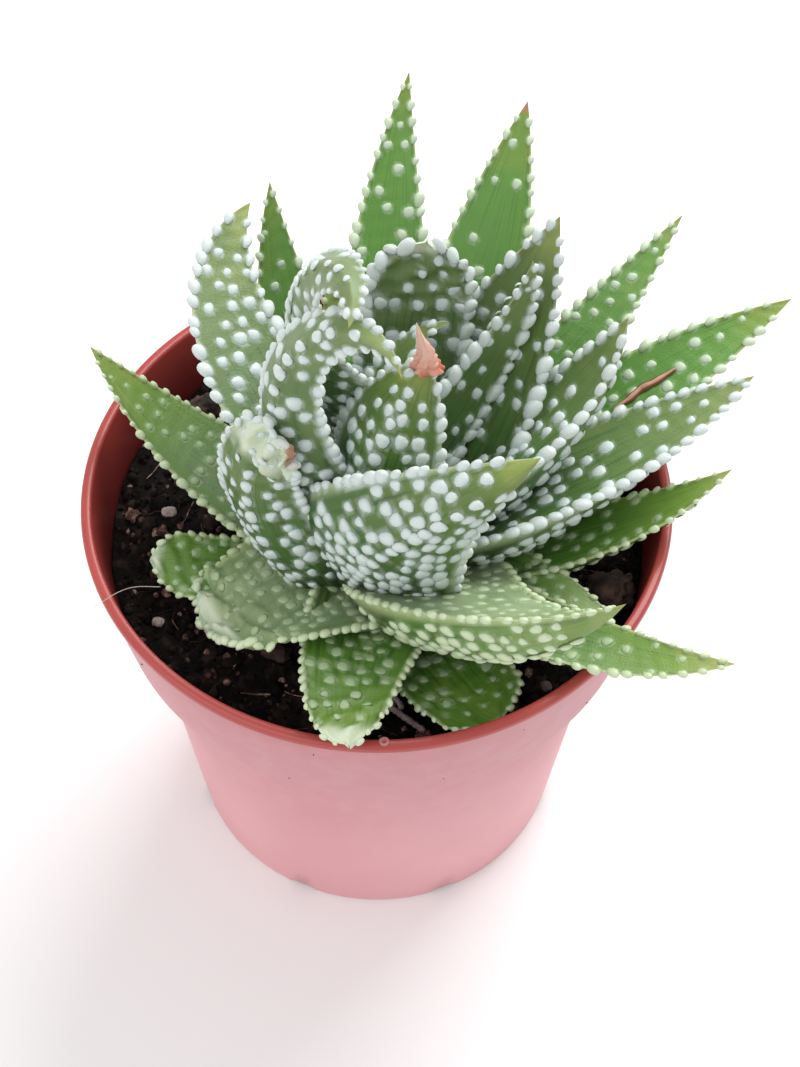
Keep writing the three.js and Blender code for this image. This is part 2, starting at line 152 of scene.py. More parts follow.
def in_scene(name, data):
    """A new object in the scene, with its mesh, light or lens."""
    thing = bpy.data.objects.new(name, data)
    bpy.context.scene.collection.objects.link(thing)
    return thing


def piece(name, surface, material, replaces=()):
    """A finished piece: its mesh, its material, the body that it rides on and the node it stands for."""
    thing = in_scene(name, surface.mesh(name))
    thing.data.materials.append(material)
    if replaces:
        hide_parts(*replaces)
    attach(thing, "root")
    made.append((name, sum(len(f) * (f.shape[1] - 2) for f in surface.faces)))


# %% [markdown]
# ## Roughness in space
# Soil, bark and dried ends have no straight line in them. A value noise gives each point of space a
# number from -1 to 1: random numbers at the corners of a lattice, blended smoothly between. Three
# layers of it, each finer and weaker, look natural.

# %% noise
LATTICE = 32
lattice = np.random.default_rng(5).uniform(-1, 1, (LATTICE, LATTICE, LATTICE))


def noise(points, size):
    """Random lattice values `size` mm apart, blended smoothly to each point."""
    cell = np.floor(points / size).astype(int)
    f = smooth(points / size - cell)
    total = 0
    for corner in np.ndindex(2, 2, 2):
        offset = np.array(corner)
        weight = np.prod(np.where(offset, f, 1 - f), axis=-1)
        total = total + weight * lattice[tuple(np.moveaxis((cell + offset) % LATTICE, -1, 0))]
    return total


def rough(points, size):
    """Three layers of noise, each half the size and half the weight of the last."""
    return noise(points, size) + noise(points + 50, size / 2) / 2 + noise(points + 90, size / 4) / 4


# %% [markdown]
# ## Nodes for the finishes
# A material is a small graph. Two effects come back in most of them, so each is a node group: mottle
# gives a soft uneven value, and pores gives the fine relief of a skin.

# %% node helpers
def node(tree, kind, inputs=(), **settings):
    """Adds a node, sets its settings, and fills or links its inputs by name or number."""
    made_node = tree.nodes.new(kind)
    for key, value in settings.items():
        setattr(made_node, key, value)
    for key, value in dict(inputs).items():
        if isinstance(value, bpy.types.NodeSocket):
            tree.links.new(value, made_node.inputs[key])
        else:
            made_node.inputs[key].default_value = value
    return made_node


def attribute(tree, name):
    """The output of an attribute that is stored with the mesh."""
    return node(tree, "ShaderNodeAttribute", attribute_name=name).outputs["Fac"]


def blend(tree, factor, a, b):
    """A colour between a and b. The node's inputs 0, 6 and 7 are its factor and its two colours."""
    mixed = node(tree, "ShaderNodeMix", data_type="RGBA")
    for index, value in ((0, factor), (6, a), (7, b)):
        if isinstance(value, bpy.types.NodeSocket):
            tree.links.new(value, mixed.inputs[index])
        elif index:
            mixed.inputs[index].default_value = (*value, 1)
        else:
            mixed.inputs[index].default_value = value
    return mixed.outputs[2]


def ramp(tree, factor, stops):
    """A colour ramp with (place, colour) stops."""
    made_ramp = node(tree, "ShaderNodeValToRGB", {"Fac": factor})
    elements = made_ramp.color_ramp.elements
    while len(elements) < len(stops):
        elements.new(0.5)
    for element, (place, colour) in zip(elements, stops):
        element.position = place
        element.color = (*colour, 1)
    return made_ramp.outputs["Color"]


def spread(tree, value, low, high, new_low=0.0, new_high=1.0):
    """A value from low to high brought to new_low to new_high, and held there."""
    inputs = {"Value": value, 1: low, 2: high, 3: new_low, 4: new_high}
    return node(tree, "ShaderNodeMapRange", inputs, interpolation_type="SMOOTHSTEP").outputs["Result"]


def math_node(tree, operation, a, b=0.0):
    """One sum, product or the like of two values."""
    return node(tree, "ShaderNodeMath", {0: a, 1: b}, operation=operation).outputs[0]


def group(name, inputs, outputs):
    """A new node group with named inputs, each with its default, and named outputs."""
    tree = bpy.data.node_groups.new(name, "ShaderNodeTree")
    for key, default in inputs.items():
        socket = tree.interface.new_socket(key, in_out="INPUT", socket_type="NodeSocketFloat")
        socket.default_value = default
    for key, kind in outputs.items():
        tree.interface.new_socket(key, in_out="OUTPUT", socket_type=kind)
    return tree, node(tree, "NodeGroupInput").outputs, node(tree, "NodeGroupOutput").inputs


# %% shared effects
scale_and_range = {"Scale": 100.0, "Low": 0.0, "High": 1.0}
mottle, given, result = group("mottle", scale_and_range, {"Value": "NodeSocketFloat"})
place = node(mottle, "ShaderNodeTexCoord").outputs["Object"]
cloud = node(mottle, "ShaderNodeTexNoise", {"Vector": place, "Scale": given["Scale"], "Detail": 4.0})
patch = node(mottle, "ShaderNodeMapRange", {"Value": cloud.outputs["Fac"], 1: 0.3, 2: 0.7})
mottle.links.new(given["Low"], patch.inputs[3])
mottle.links.new(given["High"], patch.inputs[4])
mottle.links.new(patch.outputs["Result"], result["Value"])

PORE_HEIGHT = 0.0003
pores, given, result = group("pores", {"Scale": 2000.0, "Depth": 0.2}, {"Normal": "NodeSocketVector"})
place = node(pores, "ShaderNodeTexCoord").outputs["Object"]
cells = node(pores, "ShaderNodeTexNoise", {"Vector": place, "Scale": given["Scale"], "Detail": 3.0})
relief = {"Strength": given["Depth"], "Height": cells.outputs["Fac"], "Distance": PORE_HEIGHT}
dents = node(pores, "ShaderNodeBump", relief)
pores.links.new(dents.outputs["Normal"], result["Normal"])


def use(tree, shared, **inputs):
    """Places a node group with its own values, and gives its first output."""
    placed = node(tree, "ShaderNodeGroup", node_tree=shared)
    for key, value in inputs.items():
        placed.inputs[key].default_value = value
    return placed.outputs[0]


def uneven(tree, scale, low=0.0, high=1.0):
    """The soft value of the mottle group, from low to high."""
    return use(tree, mottle, Scale=scale, Low=low, High=high)


def finish_of(name, build, **sockets):
    """A material: build(tree) gives the linked inputs of its shader, and sockets the constant ones."""
    material = bpy.data.materials.new(name)
    material.use_nodes = True
    tree = material.node_tree
    shader = tree.nodes["Principled BSDF"]
    for key, value in sockets.items():
        shader.inputs[key.replace("_", " ")].default_value = value
    for key, output in build(tree).items():
        tree.links.new(output, shader.inputs[key])
    return material


def mottled(scale, stops):
    """A colour for rough_finish: soft patches of that scale that run through the stops."""
    return lambda tree: ramp(tree, uneven(tree, scale), stops)


def rough_finish(name, colour, scale, depth, **sockets):
    """A material without gloss: colour(tree) gives its colour, and pores of that scale its relief."""
    return finish_of(name, lambda tree: {
        "Base Color": colour(tree), "Normal": use(tree, pores, Scale=scale, Depth=depth)}, **sockets)


print("node groups:", mottle.name, pores.name)

# %% [markdown]
# ## The pot
# The pot is thin moulded polypropylene: a beaded rim, a tall collar, a step where pots stack, and a
# tapered body. It is turned from one profile. The profile's corners are softened with short arcs,
# because moulded edges catch the light.

# %% pot profile
POT_HEIGHT = 88.5
RIM_RADIUS = 52.5
LIP_WIDTH = 1.9
BEAD_FOOT = 86.3
BEAD_FOOT_RADIUS = 51.9
COLLAR_FOOT = 64.8
COLLAR_FOOT_RADIUS = 48
NOTCHES = 8
NOTCH_HALF_WIDTH = 2.5
NOTCH_HEIGHT = 1.5
NOTCH_DEPTH = 3.5
BASE_RADIUS = 36.7
FLOOR_TOP = 1.6

# radius, height and the softness of the corner, from the middle of the base round to the floor inside
pot_corners = np.array([
    (0, 0, 0), (30, 0, 1), (BASE_RADIUS, 0, 0.9), (43.7, 63.4, 1.2), (44.3, COLLAR_FOOT, 0.3),
    (COLLAR_FOOT_RADIUS, COLLAR_FOOT, 0.9), (BEAD_FOOT_RADIUS, BEAD_FOOT, 0.4),
    (RIM_RADIUS, BEAD_FOOT + 0.6, 0.4), (RIM_RADIUS, POT_HEIGHT, 0.9),
    (RIM_RADIUS - LIP_WIDTH, POT_HEIGHT, 0.7), (46.8, 66, 0.8), (42.5, 65.4, 0.6),
    (35.5, FLOOR_TOP, 0.8), (20, FLOOR_TOP, 1), (0, FLOOR_TOP, 0),
])


def softened(corners, steps=6):
    """Each corner becomes a short arc: a quadratic curve between two points that lie `softness` away."""
    here, before, after = corners[1:-1, :2], corners[:-2, :2], corners[2:, :2]
    soft = corners[1:-1, 2:3]
    start = here + unit(before - here) * soft
    end = here + unit(after - here) * soft
    s = np.linspace(0, 1, steps)[None, :, None]
    arcs = (1 - s) ** 2 * start[:, None] + 2 * s * (1 - s) * here[:, None] + s ** 2 * end[:, None]
    return np.vstack([corners[:1, :2], arcs.reshape(-1, 2), corners[-1:, :2]])


def subdivided(profile, longest):
    """The profile with more points, so that none of its stretches is longer than `longest` mm."""
    gaps = np.linalg.norm(np.diff(profile, axis=0), axis=1)
    counts = np.maximum(np.ceil(gaps / longest).astype(int), 1)
    at = np.concatenate([i + np.arange(n) / n for i, n in enumerate(counts)] + [[len(gaps)]])
    whole = np.arange(len(profile))
    return np.stack([np.interp(at, whole, profile[:, 0]), np.interp(at, whole, profile[:, 1])], -1)


pot_profile = subdivided(softened(pot_corners), 8)
print("pot profile points:", len(pot_profile))

# %% pot surface
POT_SIDES = 256


def pot_surface():
    """The profile turned about Z. Near the foot, a notch lifts the edge by a smooth pulse of the angle."""
    angle = circle(POT_SIDES)
    radius, height = pot_profile[1:-1, 0:1], pot_profile[1:-1, 1:2]
    outside = np.arange(len(radius))[:, None] < np.argmax(height > POT_HEIGHT - 0.01)
    phase = (angle * NOTCHES / (2 * np.pi)) % 1 - 0.5
    off_centre = np.abs(phase) * 2 * np.pi / NOTCHES * BASE_RADIUS
    pulse = smooth((NOTCH_HALF_WIDTH + 0.3 - off_centre) / 0.6)
    near_foot = smooth((radius - BASE_RADIUS + NOTCH_DEPTH) / 0.8) * outside
    z = np.maximum(height, NOTCH_HEIGHT * pulse * near_foot)
    wobble = 1 + 0.0012 * np.sin(2 * angle + 0.6) + 0.0006 * np.sin(5 * angle)
    points = around(radius * wobble, z, angle).reshape(-1, 3)
    ends = np.array([[0, 0, pot_profile[0, 1]], [0, 0, pot_profile[-1, 1]]])
    values = dict(
        dusty=outside * smooth((BEAD_FOOT + 0.1 - height) / 0.7),
        # painted shade: the inside wall is painted dark towards the soil
        deep=~outside * smooth((POT_HEIGHT - 1 - height) / 12),
        # painted light: the outside is painted paler towards the foot
        low=outside * smooth((80 - height) / 75),
    )
    values = {key: np.append(np.repeat(v, POT_SIDES), v[[0, -1]]) for key, v in values.items()}
    surface = Surface()
    surface.add(np.vstack([points, ends]), capped_rings(len(radius), POT_SIDES), **values)
    return surface


# %% [markdown]
# The rim is a clear brick red. Below the bead the wall is dusty and scuffed, so it looks pink and
# nearly matt; it is painted paler towards the foot, a painted light. Inside, the red is painted dark
# towards the soil, a painted shade.

# %% pot finish
POT_RED = (0.38, 0.05, 0.045)
POT_PINK = (0.56, 0.25, 0.28)
# the paler pink of the foot is painted light
POT_FOOT_PAINTED_LIGHT = (0.78, 0.4, 0.43)
# the painted shade of the inside wall near the soil
POT_PAINTED_SHADE = (0.12, 0.015, 0.014)


def pot_build(tree):
    patches, scuffs = uneven(tree, 28.0), uneven(tree, 240.0)
    dust = math_node(tree, "MULTIPLY", attribute(tree, "dusty"), spread(tree, patches, 0.0, 1.0, 0.86, 1.0))
    wall = blend(tree, spread(tree, scuffs, 0.2, 0.8, 0.0, 0.22), POT_PINK, (0.62, 0.36, 0.37))
    # painted light: the wall is painted paler towards the foot
    wall = blend(tree, attribute(tree, "low"), wall, POT_FOOT_PAINTED_LIGHT)
    red = blend(tree, spread(tree, patches, 0.0, 1.0, 0.0, 0.25), POT_RED, (0.62, 0.13, 0.1))
    # painted shade: the red inside is painted dark towards the soil
    inside = blend(tree, attribute(tree, "deep"), red, POT_PAINTED_SHADE)
    return {
        "Base Color": blend(tree, dust, inside, wall),
        "Roughness": spread(tree, attribute(tree, "dusty"), 0.0, 1.0, 0.3, 0.52),
        "Normal": use(tree, pores, Scale=900.0, Depth=0.08),
    }


pot_finish = finish_of("pot_plastic", pot_build, IOR=1.49)
piece("pot_moulded", pot_surface(), pot_finish, ["pot"])
print(made[-1])

# %% [markdown]
# ## The soil
# The pot is filled with dark peat. Its top is a rough field that dips and rises by a millimetre or
# two, and thousands of crumbs lie loose on it. Each crumb is a ball of 20 or 80 faces, dented,
# stretched and turned at random. The seed is fixed, so they fall the same way each time.

# %% soil surface
SOIL_TOP = 75.5
SOIL_RADIUS = 48.2
SOIL_SIDES = 200
SOIL_RINGS = 90


def soil_height(x, y):
    """The soil's height: two broad waves, and rough noise of a few millimetres' size."""
    wave = np.sin(0.31 * x + 1) * np.cos(0.27 * y) + 0.6 * np.sin(0.55 * x - 0.4 * y)
    spot = np.stack([x, y, np.zeros_like(x)], -1)
    return SOIL_TOP + 0.45 * wave + 0.9 * rough(spot, 6.0) + 0.25 * rough(spot + 30, 1.5)


def soil_surface():
    """Rings from the floor up the wall, then inwards over the rough top to the middle."""
    angle = circle(SOIL_SIDES)
    wall = np.array([(35.0, 2.2), (42.0, 65.0), (46.3, 66.6)])
    side = around(wall[:, :1], wall[:, 1:], angle)
    top = around(np.linspace(SOIL_RADIUS, 0.6, SOIL_RINGS)[:, None], 0, angle)
    top[..., 2] = soil_height(top[..., 0], top[..., 1])
    points = np.concatenate([side, top])
    ends = np.array([[0, 0, wall[0, 1]], [0, 0, soil_height(np.zeros(1), np.zeros(1))[0]]])
    surface = Surface()
    surface.add(np.vstack([points.reshape(-1, 3), ends]), capped_rings(len(points), SOIL_SIDES))
    return surface


# %% lumps
def icosphere(levels):
    """The points and faces of a unit ball: 20 faces at level 1, and four times as many at each next one."""
    mesh = bpy.data.meshes.new("ball")
    ball = bmesh.new()
    bmesh.ops.create_icosphere(ball, subdivisions=levels, radius=1)
    ball.to_mesh(mesh)
    ball.free()
    points = np.zeros(len(mesh.vertices) * 3)
    mesh.vertices.foreach_get("co", points)
    faces = np.zeros(len(mesh.polygons) * 3, int)
    mesh.polygons.foreach_get("vertices", faces)
    bpy.data.meshes.remove(mesh)
    return points.reshape(-1, 3), faces.reshape(-1, 3)


def turns(random, count):
    """Random rotations: each from a random unit quaternion."""
    w, x, y, z = unit(random.normal(size=(count, 4))).T
    return np.stack([
        1 - 2 * (y * y + z * z), 2 * (x * y - w * z), 2 * (x * z + w * y),
        2 * (x * y + w * z), 1 - 2 * (x * x + z * z), 2 * (y * z - w * x),
        2 * (x * z - w * y), 2 * (y * z + w * x), 1 - 2 * (x * x + y * y),
    ], -1).reshape(count, 3, 3)


DENT = 0.28


def strew(surface, places, sizes, random, levels=1, **values):
    """Copies of a dented ball at the places: each is stretched by its three sizes and turned."""
    ball, faces = icosphere(levels)
    count = len(places)
    dents = 1 + random.uniform(-DENT, DENT, (count, len(ball), 1))
    lumps = np.einsum("nij,nvj->nvi", turns(random, count), ball * dents * sizes[:, None, :])
    points = lumps + places[:, None, :]
    all_faces = (faces[None] + np.arange(count)[:, None, None] * len(ball)).reshape(-1, 3)
    spread_values = {key: np.repeat(value, len(ball)) for key, value in values.items()}
    surface.add(points, [all_faces], **spread_values)


# %% soil and crumbs
# small and big crumbs: how many, how far they reach, their least size, what a draw adds to it, the
# power that makes the larger ones rare, and the level of their ball
CRUMBS = ((4200, 47.6, 0.35, 0.75, 3, 1), (260, 45.5, 0.9, 1.1, 2, 2))
soil_random = np.random.default_rng(11)


def scatter(random, count, reach):
    """Random places on the soil, even over its round top."""
    radius = reach * np.sqrt(random.uniform(0, 1, count))
    angle = random.uniform(0, 2 * np.pi, count)
    x, y = radius * np.cos(angle), radius * np.sin(angle)
    return np.stack([x, y, soil_height(x, y)], -1)


def crumbs_surface():
    """Each crumb's size is the least one plus a share of a random number raised to a power."""
    surface = Surface()
    for count, reach, least, more, power, level in CRUMBS:
        places = scatter(soil_random, count, reach)
        size = least + more * soil_random.uniform(0, 1, (count, 1)) ** power
        stretch = soil_random.uniform(0.6, 1.3, (count, 3))
        tone = soil_random.uniform(0, 1, count)
        strew(surface, places, size * stretch, soil_random, level, tone=tone)
    return surface


soil_colour = mottled(420.0, [
    (0.0, (0.004, 0.0035, 0.0035)), (0.6, (0.011, 0.008, 0.007)), (1.0, (0.035, 0.024, 0.02))])


def crumb_colour(tree):
    tone = math_node(tree, "ADD", attribute(tree, "tone"), uneven(tree, 700.0, -0.12, 0.12))
    return ramp(tree, tone, [
        (0.0, (0.004, 0.0035, 0.0035)), (0.6, (0.013, 0.009, 0.008)), (0.85, (0.04, 0.025, 0.021)),
        (0.95, (0.2, 0.1, 0.08)), (1.0, (0.42, 0.27, 0.24))])


soil_finish = rough_finish("peat", soil_colour, 1500.0, 0.9, Roughness=0.92, Specular_IOR_Level=0.15)
crumb_finish = rough_finish("peat_crumbs", crumb_colour, 2500.0, 0.9, Roughness=0.9, Specular_IOR_Level=0.15)
piece("soil_top", soil_surface(), soil_finish, ["soil"])
piece("soil_crumbs", crumbs_surface(), crumb_finish)
print(made[-2:])

# %% [markdown]
# ## The leaves
# Each leaf is a spine that rises, sweeps and rolls from the stem, and a section that is carried along
# it: a nearly flat face above, and two flanks that meet in a keel below. These are the growth lines
# of the frame's own leaves. The white tubercles follow rules too. They stand in staggered rows on the
# flanks, more thinly on the upper face, and crowd into a seam along both margins and the keel.

# %% leaf table
STEM = np.array([4.5, -11.0])

# Each row begins with these six. turn: degrees round the stem. root: height of the root. length: along
# the spine. rise: slope at the root and at the tip. width, thick: across, and from the face to the keel.
COLUMNS = ("turn", "root", "length", "rise", "width", "thick")
# The rest of a row is what differs from these values. sweep: drift of the turn. rise_late, sweep_late:
# the higher, the nearer to the tip the slope and the turn change. roll: twist at both ends. taper,
# blunt, cup: the outline and the hollow of the face. reach, at: how far from the stem's middle the root
# is, and which way where that isn't the turn. under, top, margin: spacing of the tubercles on the
# flanks, the upper face and the margins. size, top_size, lobe: their radii. ridge: height of the low
# waves across the face. bloom, face_bloom: milky cast, all round and on the upper face alone. dry,
# cream: the share at the tip that is dead or bleached. crumple: how far the end is puckered, in mm.
# bare: the share at the tip without tubercles, below 0 where they go on over a blunt end.
leaf_defaults = dict(
    sweep=0, rise_late=1.3, sweep_late=1.5, roll=(0, 0), taper=2, blunt=0, cup=0.12, reach=4, at=None,
    under=3.1, top=3.6, margin=2.6, size=1, top_size=0.85, lobe=1.25, ridge=0.03, bloom=0, face_bloom=0,
    dry=0, cream=0, crumple=0, bare=0,
)
kind_defaults = dict(
    heart=dict(bloom=0.1),
    outer=dict(top=4.6, top_size=0.95, margin=2.9, lobe=1.1),
    low=dict(top=3, top_size=0.8),
)
leaf_rows = dict(
    heart={
        10: (114, 101, 33, (58, 10), 10, 3, dict(sweep=-110, bloom=0)),
        8: (-124, 101, 33, (87, 142), 19, 6, dict(sweep=-16, roll=(-4, 30), taper=4, at=-150, size=1.05,
            margin=2.5, bloom=0)),
        9: (90, 96, 46, (29, 76), 19, 5, dict(sweep=-22, roll=(3, 20), blunt=0.9, top=3.5, top_size=1.15,
            lobe=1.4, ridge=0.1, bloom=0.15, cream=0.1, crumple=0.9, bare=-0.04)),
        11: (54, 100.6, 48, (23, 93), 13.4, 5, dict(rise_late=2, sweep=-25, roll=(60, 80), reach=3.1, at=95,
            top=4.4, margin=2.8, lobe=1.35)),
        7: (195, 89.5, 77.5, (67, 203), 16.8, 5, dict(rise_late=2.54, sweep=-85, sweep_late=2.8,
            roll=(34, 60), reach=8.2, at=161, under=3.5, size=1.1, margin=2.5, lobe=1.2, bloom=0.25)),
        6: (164, 104, 66, (54, 202), 18, 4, dict(rise_late=2.1, sweep=-89, sweep_late=3, roll=(100, 1),
            taper=2.4, reach=8, at=108, size=0.85, margin=2.1, lobe=1, bloom=0.3)),
        21: (-73, 89, 51, (79, 9), 34, 7, dict(rise_late=1.43, sweep=104, sweep_late=1, roll=(-53, -119),
            taper=1.6, cup=0, reach=8, at=-130, under=2.95, size=1.12, margin=2.5, bloom=0.03, bare=0.07)),
        22: (177, 80.5, 51, (58, 171), 16, 5, dict(rise_late=3.2, sweep=-50, sweep_late=2.5, roll=(59, 99),
            taper=2.5, blunt=0.74, reach=11.5, at=207, under=3.3, top=1.75, size=0.95, top_size=1.1,
            margin=2, lobe=1.1, bloom=0.12, dry=0.03, cream=0.24, crumple=1.1, bare=-0.05)),
        12: (56, 91.6, 57.5, (31, 66), 27, 7, dict(sweep=-8, roll=(0, 8), taper=2.2, cup=0.3, reach=5.5,
            at=66, top=4, top_size=0.9, margin=2.7, lobe=1.45)),
        15: (27, 97, 49, (13, 62), 24, 8, dict(rise_late=1.5, sweep=14, roll=(-36, -15), under=3.3, top=4.2,
            size=1.2, top_size=1.1, margin=2.7, lobe=1.4, bloom=0.15)),
        2: (148, 88, 70, (38, 11), 23, 7, dict(sweep=-92, sweep_late=2, roll=(2, 26), taper=2.6, top=3.4,
            top_size=1, margin=2.9, lobe=1.35, bloom=0.12)),
        16: (19, 89.4, 64.5, (15, 16), 27, 8, dict(sweep=10, roll=(-36, -2), reach=3.8, at=-6, under=3.2,
            top=3.9, size=1.15, top_size=1.05, margin=2.7, lobe=1.35)),
    },
    outer={
        5: (72, 87, 79, (31, 33), 23, 6, dict(sweep=2, roll=(-17, -7), taper=2.6, top=6, dry=0.035)),
        4: (97, 87, 83, (24, 38), 21, 6, dict(sweep=-19, top=4, margin=3, ridge=0.06)),
        3: (123, 85, 69, (13, 56), 18, 5, dict(rise_late=1.4, sweep=-28, taper=2.2, top_size=0.75,
            margin=2.8, lobe=0.95)),
        13: (47, 86, 76, (21, 20), 18, 6, dict(sweep=4, roll=(4, 3), top=3.3, bloom=0.06)),
        14: (28, 80.8, 79, (26, 14), 24, 6, dict(roll=(-28, 13), taper=2.2, reach=6.4, at=57, top_size=1,
            margin=3, lobe=1.2)),
    },
    low={
        18: (-18, 82, 36, (20, -10), 17, 5, dict(sweep=-8, top_size=0.75, margin=2, lobe=0.8, bloom=0.1)),
        19: (-69, 85, 54, (37, 23), 30, 9, dict(sweep=81, roll=(-1, -60), under=2.7, top=3.6, size=1.15,
            top_size=0.9, margin=2.5, lobe=1, bloom=0.12, face_bloom=0.6)),
        23: (-152, 84, 34, (11, -6), 34, 7, dict(roll=(10, 30), blunt=0.85, top=2.9, top_size=0.95,
            margin=1.8, lobe=0.95, ridge=0.05, bloom=0.3, face_bloom=0.25, cream=0.16, crumple=1.1,
            bare=-0.04)),
        17: (3, 82, 58, (5, 45), 18, 6, dict(sweep=8, roll=(-22, 0), top=3.2, top_size=0.85, margin=2.5,
            lobe=0.85)),
        1: (153, 81, 66, (1, 55), 23, 6, dict(rise_late=1.5, sweep=-2, roll=(5, 12), taper=2.4, top=3.4,
            margin=2.2, lobe=0.85)),
        20: (-43, 86.5, 61, (9, 14), 17, 5, dict(sweep=38, roll=(-35, 12), taper=2.2, top=4.4,
            top_size=0.85, margin=2.7, lobe=0.95)),
        24: (-110, 83, 43, (19, 9), 23, 6, dict(sweep=27, roll=(-10, 4), taper=1.8, blunt=0.4,
            top_size=0.95, margin=1.9, lobe=0.75, ridge=0.12, cream=0.14, crumple=0.6)),
        25: (-76, 79.3, 34.2, (9, 5), 20, 5, dict(sweep=39, roll=(7, -17), blunt=1, top=3.2, top_size=0.95,
            margin=1.8, lobe=0.65, ridge=0.12, cream=0.06, crumple=0.3)),
        26: (184, 78.5, 41, (-3, 24), 15, 4, dict(sweep=-4, blunt=0.9, top=2.8, margin=1.9, lobe=0.7,
            ridge=0.1, cream=0.1, crumple=0.3)),
        27: (107, 80, 56, (8, 30), 17, 5, dict(sweep=-6)),
        28: (62, 80, 44, (6, 22), 15, 5, dict(sweep=6)),
    },
)


def whole_row(kind, row):
    """A leaf's values: its own before its kind's, and those before the defaults."""
    return {**leaf_defaults, **kind_defaults[kind], **dict(zip(COLUMNS, row)), **row[-1], "kind": kind}


leaves = {f"leaf_{number:02d}": whole_row(kind, row)
          for kind, rows in leaf_rows.items() for number, row in rows.items()}
print("leaves:", len(leaves))

# %% [markdown]
# The spine is found by adding up many short steps, each in the direction that the leaf points there.
# Two more directions go with it: one to the leaf's left side, and one up out of its face.

# %% leaf spine and section
SPINE_STEPS = 240
ROOT_WIDTH = 0.8
ROOT_THICKNESS = 0.85
TOP_SWELL = 0.12


def spine_of(leaf):
    """Centre, direction, side and top, at even steps from the root to the tip."""
    t = np.linspace(0, 1, SPINE_STEPS + 1)
    pitch = np.radians(mix(*leaf["rise"], t ** leaf["rise_late"]))
    yaw = np.radians(leaf["turn"] + leaf["sweep"] * t ** leaf["sweep_late"])
    roll = np.radians(mix(*leaf["roll"], t))[:, None]
    along = np.stack([np.cos(pitch) * np.cos(yaw), np.cos(pitch) * np.sin(yaw), np.sin(pitch)], -1)
    left = np.stack([-np.sin(yaw), np.cos(yaw), np.zeros_like(yaw)], -1)
    up = np.cross(along, left)
    at = np.radians(leaf["turn"] if leaf["at"] is None else leaf["at"])
    root = np.array([*(STEM + leaf["reach"] * np.array([np.cos(at), np.sin(at)])), leaf["root"]])
    steps = (along[1:] + along[:-1]) / 2 * leaf["length"] / SPINE_STEPS
    centre = root + np.vstack([np.zeros(3), np.cumsum(steps, 0)])
    return dict(t=t, centre=centre, along=along, side=left * np.cos(roll) + up * np.sin(roll),
                top=up * np.cos(roll) - left * np.sin(roll))


def at_spine(spine, key, t):
    """A direction or place of the spine at any t, blended between its steps."""
    return np.stack([np.interp(t, spine["t"], spine[key][:, axis]) for axis in range(3)], -1)


def half_width(leaf, t):
    """Half the leaf's width: narrower at the root, then drawn in to the tip, or rounded where blunt."""
    body = (1 - leaf["blunt"]) * (1 - t ** leaf["taper"]) + leaf["blunt"] * (1 - t ** 20)
    return leaf["width"] / 2 * mix(ROOT_WIDTH, 1, smooth(t / 0.25)) * body


def keel_depth(leaf, t):
    """From the face down to the keel."""
    return leaf["thick"] * (1 - t ** 3) * mix(ROOT_THICKNESS, 1, smooth(t / 0.3))


def on_leaf(leaf, spine, t, angle):
    """The point of the skin at t and angle: across the side, and up or down from the hollow face.
    Above, a low swelling. Below, two flanks to a keel, rounder at the root. Low waves run across, and
    a blunt end can be puckered by two crossed waves and finer bumps."""
    w, d = half_width(leaf, t), keel_depth(leaf, t)
    c, s = np.cos(angle), np.sin(angle)
    flank = mix((1 - c * c) ** 0.7, 1 - np.abs(c) ** 1.3, smooth((t - 0.2) / 0.5))
    waves = leaf["ridge"] * np.sin(2.1 * leaf["length"] * t + 3 * c) * smooth(t / 0.2) * (1 - c * c)
    end = leaf["crumple"] * smooth((t - 0.62) / 0.25)
    pucker = end * (np.sin(1.6 * leaf["length"] * t + 5 * c) + np.sin(8 * c + 0.8 * leaf["length"] * t)) / 2
    if leaf["crumple"]:
        pucker = pucker + 0.7 * end * noise(np.stack([leaf["length"] * t, w * c, 3 * s], -1), 1.4)
    face = np.where(s > 0, TOP_SWELL * d * s + waves * s, -d * flank + waves * s) + pucker
    out = face + leaf["cup"] * w * c * c
    across = (w * c)[..., None] * at_spine(spine, "side", t)
    return at_spine(spine, "centre", t) + across + out[..., None] * at_spine(spine, "top", t)


def skin_axes(leaf, spine, t, angle):
    """Along, across and outward directions of the skin, from points a little to each side."""
    dt, da = 0.01, 0.12
    along = unit(on_leaf(leaf, spine, np.minimum(t + dt, 1), angle) - on_leaf(leaf, spine, t - dt, angle))
    round_it = on_leaf(leaf, spine, t, angle + da) - on_leaf(leaf, spine, t, angle - da)
    outward = unit(np.cross(round_it, along))
    return along, unit(np.cross(along, outward)), outward


# %% [markdown]
# A tubercle is a smooth dome with a skirt that sinks into the skin. Its outline is a little egg
# shaped, with the wide end to the leaf's tip. Rows get closer towards the root, as on the plant,
# and each dome gets its own size, place and turn from a seeded draw.

# %% tubercle rules
DOME_SIDES = 9
LINE_STEPS = 600
MOST_COLUMNS = 12
# radius and height of each ring of a tubercle, from the skirt under the skin to the top
shield_rings = np.array([(1.12, -0.3), (1.0, 0.1), (0.86, 0.5), (0.6, 0.82), (0.3, 0.97)])
# the same for a lobe, a whole flat bead that straddles a margin
lobe_rings = np.array([(0.45, -1.1), (0.85, -0.8), (1.0, -0.35), (0.9, 0.2), (0.62, 0.62), (0.28, 0.86)])


def rows_along(leaf, spine, angle, pitch, first, last):
    """Places t on the line at one angle, 0.9 of the pitch apart at the root and 1.15 at the tip."""
    t = np.linspace(first, last, LINE_STEPS)
    line = on_leaf(leaf, spine, t, np.full(LINE_STEPS, angle))
    gaps = np.linalg.norm(np.diff(line, axis=0), axis=1)
    rows = np.append(0, np.cumsum(gaps / (pitch * mix(0.9, 1.15, t[1:]))))
    return np.interp(np.arange(int(rows[-1])) + 0.5, rows, t)


